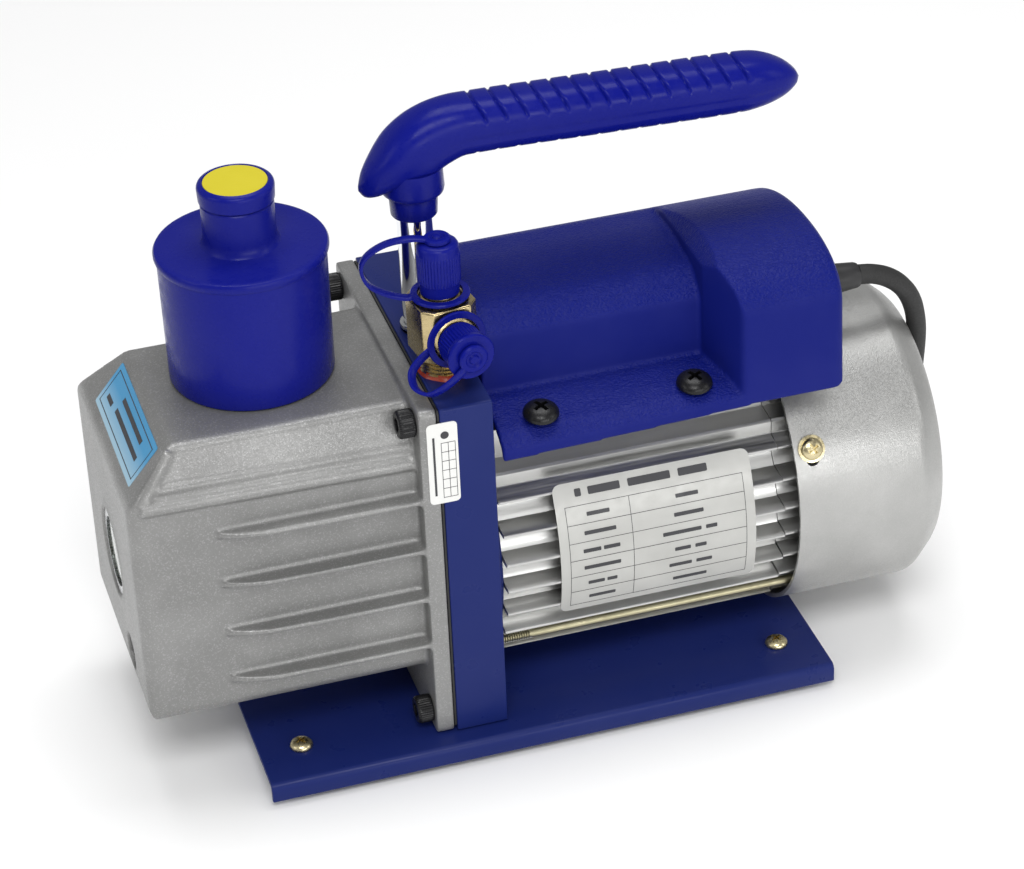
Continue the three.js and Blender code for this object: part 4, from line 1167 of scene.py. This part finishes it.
def make_grip(mat):
    stations = [-51.2 + 0.9 * (k / 8) for k in range(8)]
    stations += [-50.3 + 38.3 * k / 48 for k in range(48)]
    stations += [-12 + 101 * k / 330 for k in range(330)]
    stations += [89 + 22.3 * math.sin(math.pi / 2 * k / 24) for k in range(25)]
    sides = 64
    bm = bmesh.new()
    rings = []
    for x in stations:
        top, bottom, half = (along_line(line, x) for line in (GRIP_TOP, GRIP_BOTTOM, GRIP_HALF_WIDTH))
        middle, rise = (top + bottom) / 2, max(0.05, (top - bottom) / 2)
        half = max(0.05, half)
        ring = []
        for k in range(sides):
            angle = math.tau * k / sides
            c, s = math.cos(angle), math.sin(angle)
            power = 0.78 if s > 0 else 0.86
            y = math.copysign(abs(c) ** power, c) * half
            z = math.copysign(abs(s) ** power, s) * rise
            straight = clamped((x + 24) / 12) * clamped((104 - x) / 8)
            crease = 0.55 * math.exp(-((s + 0.17) / 0.07) ** 2) * straight
            inward = 1 - (groove_depth(x, angle) + crease) / max(half, rise)
            ring.append(bm.verts.new((x, y * inward, middle + z * inward)))
        rings.append(ring)
    skinned(bm, rings)
    socket = lathe([
        (6.8, 195.4), (8, 195.4), (8.3, 195.8), (8.7, 203.2), (9.8, 203.7), (10.9, 204.6), (11.2, 206),
        (10.8, 214), (6.8, 214), (6.8, 195.4),
    ], "z", 72)
    whole = together(bm, moved(socket, (ROD.x, ROD.y, 0)))
    finished("grip_moulding", whole, mat, "blue_gloss", ["handle_grip"], smooth=55)

    seat, r = BRACKET_HIGH.z, (ROD_HIGH.x - ROD_LOW.x) / 2
    rod = lathe(
        [
            (0, seat - 13), (r - 1, seat - 13), (r - 1, seat + 4.4), (r - 0.2, seat + 5), (r, seat + 5.6),
            (r, ROD_HIGH.z - 1), (0, ROD_HIGH.z - 1),
        ], "z", 72,
    )
    finished("chromed_rod", moved(rod, (ROD.x, ROD.y, 0)), mat, "chrome", ["handle_rod"])
    coil = []
    for k in range(41):
        angle = math.tau * k / 40
        ring_point = Vector(
            (6.7 * math.cos(angle), 6.7 * math.sin(angle), seat + 1.1 + 1.6 * angle / math.tau)
        )
        coil.append(ring_point + Vector((ROD.x, ROD.y, 0)))
    finished("spring_washer", strap(coil, 1.9, 1.7, Vector((0, 0, 1))), mat, "steel")
    screw = lathe(thread(r - 0.5, seat + 0.2, seat + 5, 1.25), "z", 64)
    finished("rod_thread", moved(screw, (ROD.x, ROD.y, 0)), mat, "steel")


# ------------------------------------------------------------ motor
FIN_TIPS = (28.9, 17.8, 6.8, -4.3, -15.4, -26.5)
FIN_RADIUS = 55.2
BODY_RADIUS = 46.6


def front_profile():
    """The extrusion's section on the front side, from crown to keel, as (y, z) about the shaft."""

    def arc(z):
        return -math.sqrt(BODY_RADIUS**2 - z**2)

    def tip(z):
        return -math.sqrt(FIN_RADIUS**2 - z**2)

    points = [
        (-16, 55.2), (-24, 49.6), (-30.5, 49.2), (-30.5, 37.6), (-39.4, 37.0), (-40.2, 36.2), (-40.0, 31.6),
        (-40.6, 31.0),
    ]
    root = 1.5
    for i, z in enumerate(FIN_TIPS):
        if i:
            points += [(arc(z + root + 1.6), z + root + 1.6), (arc(z + root) - 0.8, z + root)]
        points += [(tip(z) + 0.5, z + 0.75), (tip(z), z + 0.3), (tip(z), z - 0.3), (tip(z) + 0.5, z - 0.75)]
        points += [(arc(z - root) - 0.8, z - root), (arc(z - root - 1.6), z - root - 1.6)]
    points += [
        (-38.6, -31), (-39.4, -37.6), (-40.6, -38.6), (tip(-38.8) + 0.4, -39.0), (tip(-39.8) + 0.2, -39.8),
        (-36.5, -41.0),
    ]
    points += [
        (-33.2, -42.4), (tip(-44.6) + 0.6, -44.3), (tip(-45.4) + 0.2, -45.6), (-30, -46.4), (-20, -50.6),
        (-8, -54.8),
    ]
    return points


def make_motor(mat):
    front = front_profile()
    section = front + [(-y, z) for y, z in reversed(front)]
    bore = HOUSING_HIGH.x
    seam = 86.2

    def hollow():
        return cylinder(44.6, HOUSING_LOW.x - 2, bore + 2, "x", 96)

    main = combined("DIFFERENCE", prism(section, "x", HOUSING_LOW.x, seam), hollow())
    finished(
        "finned_extrusion", moved(main, (0, 0, SHAFT_Z)), mat, "aluminium", ["motor_housing"], smooth=40,
    )
    scale = Matrix.Diagonal((1, 0.985, 0.985))
    tail = combined("DIFFERENCE", prism(section, "x", seam + 0.5, bore), hollow())
    finished("end_bell_skirt", moved(tail, (0, 0, SHAFT_Z), scale), mat, "aluminium", smooth=40)

    for number, (y, z) in enumerate(((-42.2, 36.6), (42.2, 36.6), (-20, 122.2), (20, 122.2)), 1):
        start, stop, r = BRACKET_HIGH.x - 2.5, 97, 1.75
        profile = thread(r, start, start + 14, 0.9, 0.3)[:-1]
        rod = lathe([*profile, (r - 0.1, start + 14.5), (r - 0.1, stop), (0, stop)], "x", 32)
        finished(f"tie_rod_{number}", moved(rod, (0, y, z)), mat, "tie_rod")
    make_nameplate(mat)
    make_fan_cover(mat)


def on_fins(x, angle, lift=0.0):
    """A point on the round envelope of the fins; the angle is measured up from the front."""
    r = FIN_RADIUS + 0.25 + lift
    return Vector((x, -r * math.cos(angle), SHAFT_Z + r * math.sin(angle)))


def wrapped(x0, x1, a0, a1, radius, lift, thickness, steps):
    """A rounded rectangular film wrapped round the fins, between two angles."""
    bm = bmesh.new()
    size = (a1 - a0) * FIN_RADIUS
    outline = rounded([(x0, 0, radius), (x1, 0, radius), (x1, size, radius), (x0, size, radius)], 5)
    face = bm.faces.new([bm.verts.new((u, 0, v)) for u, v in outline])
    bmesh.ops.triangulate(bm, faces=[face])
    for k in range(1, steps):
        geometry = bm.verts[:] + bm.edges[:] + bm.faces[:]
        bmesh.ops.bisect_plane(bm, geom=geometry, plane_co=(0, 0, size * k / steps), plane_no=(0, 0, 1))
    made = bmesh.ops.extrude_face_region(bm, geom=bm.faces[:])
    raised = {v for v in made["geom"] if isinstance(v, bmesh.types.BMVert)}
    for vert in bm.verts:
        vert.co = on_fins(
            vert.co.x, a0 + vert.co.z / FIN_RADIUS, lift + (thickness if vert in raised else 0),
        )
    bmesh.ops.recalc_face_normals(bm, faces=bm.faces)
    return bm


def make_nameplate(mat):
    """A plain plate with a ruled table: a heading band, six rows, and bars where a maker would print."""
    x0, x1, a0, a1 = 0.6, 74.8, math.radians(-20.4), math.radians(34.4)
    finished(
        "nameplate", wrapped(x0, x1, a0, a1, 3, 0, 0.35, 12), mat, "silver_label",
        smooth=50,
    )
    ink = []
    left, right, divide = x0 + 3.6, x1 - 3.6, x0 + 27.5
    rows = [a0 + 0.052 + (a1 - a0 - 0.21) * k / 6 for k in range(7)]
    line = 0.0035
    for a in rows:
        ink.append(wrapped(left, right, a, a + line, 0.02, 0.36, 0.03, 1))
    for x in (left, divide, right):
        ink.append(wrapped(x - 0.1, x + 0.1, rows[0], rows[-1] + line, 0.02, 0.36, 0.03, 10))
    words = (
        ((0.42,), (0.30,)), ((0.26, 0.16), (0.20, 0.14)), ((0.58,), (0.14, 0.10)),
        ((0.28, 0.26), (0.34, 0.10)), ((0.50,), (0.26,)),
        ((0.36,), (0.20,)), ((0.18, 0.34), (0.22,)),
    )
    for k in range(6):
        a = rows[k] + 0.048
        for centre, shares, width in (
            ((left + divide) / 2, words[k][0], divide - left),
            ((divide + right) / 2, words[k][1], right - divide),
        ):
            x = centre - (sum(shares) + 0.04 * (len(shares) - 1)) * width / 2
            for share in shares:
                ink.append(wrapped(x, x + share * width, a, a + 0.027, 0.3, 0.36, 0.03, 1))
                x += (share + 0.04) * width
    a = rows[-1] + 0.06
    for start, stop in ((8, 10.4), (13, 25), (28, 44), (47, 58)):
        ink.append(wrapped(x0 + start, x0 + stop, a, a + 0.052, 0.5, 0.36, 0.03, 1))
    finished("nameplate_rules", together(*ink), mat, "dark_ink", smooth=50)


def make_fan_cover(mat):
    low, high = FAN_LOW, FAN_HIGH
    r, rear, wall = (high.y - low.y) / 2, high.x, 1.5
    shoulder = rear - 10.5
    outer = [
        (r, low.x), (r, shoulder - 2), (r - 0.25, shoulder), (r - 1.1, shoulder + 1.8),
        (r - 6.4, rear - 2.6), (r - 8, rear - 1.2), (r - 10.4, rear - 0.3), (r - 13, rear), (0, rear),
    ]
    inner = [
        (0, rear - wall), (r - 13, rear - wall), (r - 9.6, rear - 2.6), (r - 2.8, shoulder + 1.5),
        (r - wall, shoulder - 1), (r - wall, low.x + 0.3), (r - wall + 0.3, low.x), (r, low.x),
    ]
    shell = lathe([*outer, *inner], "x", 160)
    slots = []
    for k in range(12):
        outline = oblong(-1.9, 17, 1.9, 42, 1.8, 5)
        slots.append(
            moved(prism(outline, "x", rear - 4, rear + 2), turn=Matrix.Rotation(k * math.pi / 6, 3, "X"))
        )
    place = centre_of("fan_cover_screw")
    angle = math.atan2(place.z - SHAFT_Z, -place.y)
    slot = oblong(-2.5, -6.4, 2.5, 2.6, 2.4, 6)
    outward = Matrix.Rotation(math.pi / 2 - angle, 3, "X")
    slots.append(moved(prism(slot, "z", 50, 66), (place.x, 0, 0), outward))
    shell = combined("DIFFERENCE", shell, *slots)
    # The shroud wears the lighter silver copy, whose paler colour is painted reflection.
    finished(
        "fan_shroud", moved(shell, (0, 0, SHAFT_Z)), mat, "shroud_silver_painted_reflection", ["fan_cover"],
        smooth=25,
    )
    axis = Vector((0, -math.cos(angle), math.sin(angle)))
    screw = moved(cross_screw(4.1, 2.4, 2.1, 4.5), turn=towards(axis))
    at = Vector((place.x, 0, SHAFT_Z)) + axis * (r + 0.7)
    finished("shroud_screw", moved(screw, at), mat, "zinc", ["fan_cover_screw"])
    ring = moved(
        lathe([(2.3, -0.5), (5, -0.5), (5.1, -0.1), (2.3, 0.1), (2.3, -0.5)], "z", 48), turn=towards(axis),
    )
    finished("shroud_washer", moved(ring, at), mat, "zinc")


# ------------------------------------------------------------ motor cover
COVER_WALL = 2.4


def curved(*knots):
    """Joins cubic curves that share their ends: start, handle, handle, end, handle, handle, end."""
    line = []
    for k in range(0, len(knots) - 1, 3):
        a, b, c, d = (Vector((*point, 0)) for point in knots[k : k + 4])
        line += [tuple(p[:2]) for p in interpolate_bezier(a, b, c, d, 13)][(1 if k else 0) :]
    return line


def cover_shell(inset):
    """The cover as a closed solid, drawn in by the thickness of its wall for its hollow."""
    left, right, bottom = COVER_LOW.x + inset, COVER_HIGH.x - inset, COVER_EDGE - (2 if inset else 0)
    w = 32.6 - inset
    arch = rounded([
        (-w, bottom + 4), (-w + 0.8, 159.6 - inset, 6), (-24, 167.0 - inset, 20), (0, 169.8 - inset, 60),
        (24, 167.0 - inset, 20), (w - 0.8, 159.6 - inset, 6), (w, bottom + 4),
    ], 6)
    w, back, crown = COVER_HIGH.y - inset, 40 - inset, COVER_HIGH.z - inset
    rear = [(-w, bottom)]
    rear += curved(
        (-w, 160), (-w, 171 - inset), (-46, crown), (-24, crown), (0, crown), (22, 170.8 - inset),
        (back - 6, 158), (back - 2, 153), (back, 148), (back, 138),
    )
    rear += [(back, bottom)]
    block_end = soft_end(rear, "x", 58, right, 3.5)
    plan = rounded([
        (62.5 + inset, -25), (62.5 + inset, -34, 4), (70 + inset, -w - 1, 5), (right + 1, -w - 1),
        (right + 1, w), (70 + inset, w), (62.5 + inset, 34, 4), (62.5 + inset, 25),
    ], 5)
    side = rounded(
        [(bottom, 58), (bottom, right + 1), (crown + 1, right + 1), (crown + 1, 68 + inset, 5), (167, 58)],
        5,
    )
    box = combined("INTERSECT", block_end, prism(plan, "z", 100, 190), prism(side, "y", -70, 70))
    return [prism(arch, "x", left, 66), box]


def make_cover(mat):
    left, bottom = COVER_LOW.x, COVER_EDGE
    shells = cover_shell(0)
    w = COVER_HIGH.y
    for side, right in ((-1, 72), (1, COVER_HIGH.x)):
        wing = rounded([
            (side * 28, bottom + 6.6), (side * 28, bottom + 10.6), (side * 36, bottom + 9.8),
            (side * 51, bottom + 7.2), (side * w, bottom + 4.4, 3), (side * w, bottom - 0.4),
            (side * (w - 2.4), bottom - 0.4), (side * (w - 3), bottom + 2.6), (side * 44, bottom + 5.4),
        ], 5)
        lip = prism(wing, "x", left, right)
        for vert in lip.verts:
            if abs(vert.co.y) > 45:
                droop = 3.4 * (72 - vert.co.x) / 91 * (abs(vert.co.y) - 45) / 12
                vert.co.z -= droop if vert.co.x < 0 else 0
        shells.append(lip)
    whole = combined("UNION", *shells)
    for hollow in cover_shell(COVER_WALL):
        whole = combined("DIFFERENCE", whole, hollow)
    seat = cylinder(FIN_RADIUS + 0.5, left - 3, 130, "x", 96)
    shroud = cylinder(FAN_HIGH.y + 0.4, FAN_LOW.x - 2, 130, "x", 96)
    switch, middle = corners("switch_housing"), centre_of("cord_gland")
    hole = block(
        (COVER_HIGH.x - 6, switch[0].y + 1.5, switch[0].z + 0.5),
        (COVER_HIGH.x + 3, switch[1].y - 1.5, switch[1].z - 0.5),
    )
    exit_hole = cylinder(6.4, COVER_HIGH.x - 6, COVER_HIGH.x + 3, "x", 40)
    whole = combined(
        "DIFFERENCE", whole, moved(seat, (0, 0, SHAFT_Z)), moved(shroud, (0, 0, SHAFT_Z)), hole,
        moved(exit_hole, (0, middle.y, middle.z)),
    )
    finished("cover_moulding", cast(whole, 0.75, 4), mat, "blue_texture", ["motor_cover"], smooth=80)

    for number in (1, 2):
        centre = centre_of(f"cover_screw_{number}")
        axis = Vector((0, -0.14, 1)).normalized()
        screw = moved(cross_screw(6.5, 4.0, 2.1, 8, 0.55), turn=towards(axis))
        finished(
            f"truss_screw_{number}", moved(screw, (centre.x, centre.y - 0.4, bottom + 8.4)), mat,
            "black_steel", [f"cover_screw_{number}"],
        )

    plate = block((COVER_HIGH.x + 0.2, switch[0].y, switch[0].z), switch[1])
    window_low = (COVER_HIGH.x - 1, switch[0].y + 2.6, switch[0].z + 0.8)
    window_high = (switch[1].x + 1, switch[1].y - 2.6, switch[1].z - 0.8)
    bezel = bevelled(combined("DIFFERENCE", plate, block(window_low, window_high)), 0.4, 2)
    middle_y, middle_z = (switch[0].y + switch[1].y) / 2, (switch[0].z + switch[1].z) / 2
    pivot = COVER_HIGH.x - 1.5
    case = block(
        (switch[0].x, middle_y - 10.9, middle_z - 11),
        (COVER_HIGH.x + 0.25, middle_y + 10.9, middle_z + 11),
    )
    well = cylinder(10.45, -9.5, 9.5, "y")
    case = combined("DIFFERENCE", case, moved(well, (pivot, middle_y, middle_z)))
    finished("switch_case", together(bezel, case), mat, "black_plastic", ["switch_housing"])
    wedge = rounded(
        [
            (-9.8, 1.5, 0.8), (-1.2, 2.2, 3), (8.7, 4.9, 0.8), (9.0, 3.2, 0.5), (6.5, -4.5), (-6.5, -4.5),
            (-9.9, -0.4),
        ], 5,
    )
    rocker = bevelled(prism([(z, x) for z, x in wedge], "y", -9.2, 9.2), 0.4, 2, 40)
    finished(
        "rocker_key", moved(rocker, (pivot, middle_y, middle_z)), mat, "black_plastic", ["switch_rocker"],
        "switch_rocker",
    )

    start = COVER_HIGH.x
    boot = [
        (0, start - 7), (8.4, start - 7), (8.4, start - 5), (6, start - 4.6), (6, start + 0.4),
        (8, start + 0.5), (8.2, start + 1), (8.2, start + 2.6), (7.2, start + 3.6),
    ]
    boot += [(6.4 - 1.6 * t, start + 4.4 + 15.6 * t) for t in (0, 0.2, 0.4, 0.6, 0.8, 1)]
    boot += [(4.4, start + 21), (0, start + 21)]
    finished(
        "strain_relief", moved(lathe(boot, "x", 48), (0, middle.y, middle.z)), mat, "black_plastic",
        ["cord_gland"],
    )


# ------------------------------------------------------------ labels
def flat_label(name, outline, thickness, place, right, up, mat, look):
    """A thin film whose outline is given in its own plane."""
    bm = prism(outline, "z", 0, thickness)
    right, up = Vector(right).normalized(), Vector(up).normalized()
    turn = Matrix((right, up, right.cross(up))).transposed()
    finished(name, moved(bm, place, turn), mat, look)


def frame_lines(width, height, line):
    """A thin frame, as the corners of four bars."""
    w, h = width / 2, height / 2
    return [(-w, -h, w, -h + line), (-w, h - line, w, h), (-w, -h, -w + line, h), (w - line, -h, w, h)]


def make_labels(mat):
    (top_x, top_z), (low_x, low_z) = END_SLOPE
    down = Vector((low_x - top_x, 0, low_z - top_z)).normalized()
    outward = Vector((down.z, 0, -down.x))
    middle = Vector((top_x, -8.3, top_z)) + down * 12.2 + outward * 0.05
    across = Vector((0, -1, 0))
    outline = oblong(-30, -8.8, 30, 8.8, 0.8, 4)
    flat_label("end_label", outline, 0.25, middle, across, -down, mat, "blue_label")
    ink = []
    for x0, y0, x1, y1 in frame_lines(55.6, 13.6, 0.35):
        ink.append(block((x0, y0, 0), (x1, y1, 0.06)))
    for x0, x1, y in ((-24, -17, -3.5), (-12, 18, 2.2), (-12, 22, -2.6)):
        ink.append(block((x0, y, 0), (x1, y + 1.9, 0.06)))
    turn = Matrix((across, -down, across.cross(-down))).transposed()
    lines = moved(together(*ink), middle + outward * 0.26, turn)
    finished("end_label_border", lines, mat, "dark_ink")

    outline = oblong(-5.5, -16.4, 5.5, 16.4, 1.6, 4)
    centre = Vector((-40.9, TANK_LOW.y, 127.6))
    flat_label("date_sticker", outline, 0.25, centre, (1, 0, 0), (0, 0, 1), mat, "white_label")
    ink = []
    for x in (-0.6, 1.9, 4.4):
        ink.append(block((x, -14.2, 0), (x + 0.2, 8.4, 0.05)))
    for k in range(7):
        z = -14.2 + 22.4 * k / 6
        ink.append(block((-0.6, z, 0), (4.6, z + 0.2, 0.05)))
    dot = ngon(1.5, 24, (0.9, 11.4))
    ink.append(prism(dot, "z", 0, 0.05))
    ink.append(block((-3.6, -13, 0), (-2.8, 11, 0.05)))
    turn = Matrix(((1, 0, 0), (0, 0, 1), Vector((1, 0, 0)).cross(Vector((0, 0, 1))))).transposed()
    finished(
        "date_sticker_rules", moved(together(*ink), centre + Vector((0, -0.26, 0)), turn), mat, "dark_ink",
    )


# ------------------------------------------------------------ pieces that stay as the CAD has them
KEPT = {
    "tank_gasket": "rubber", "shaft_seal": "rubber", "exhaust_filter": "filter",
    "high_stage_stator": "cast_iron",
    "middle_plate": "cast_iron", "low_stage_stator": "cast_iron", "pump_end_cover": "cast_iron",
    "high_stage_rotor": "steel",
    "low_stage_rotor": "steel", "high_stage_vane_1": "cast_iron", "high_stage_vane_2": "cast_iron",
    "low_stage_vane_1": "cast_iron",
    "low_stage_vane_2": "cast_iron", "main_shaft": "steel", "stator_core": "cast_iron",
    "rotor_core": "steel",
    "front_bearing": "steel", "rear_bearing": "steel", "rear_end_bell": "aluminium",
    "cooling_fan": "black_plastic",
    "start_capacitor": "black_plastic",
}


def finish_kept_nodes(mat):
    for node, key in KEPT.items():
        mesh = frame["nodes"][node].data
        mesh.materials.clear()
        mesh.materials.append(mat[key])


make_camera()
make_stage()
materials = make_materials()
make_cord(materials)
make_base(materials)
make_bracket(materials)
make_tank(materials)
make_exhaust(materials)
make_inlet(materials)
make_tethers(materials)
make_grip(materials)
make_motor(materials)
make_cover(materials)
make_labels(materials)
finish_kept_nodes(materials)
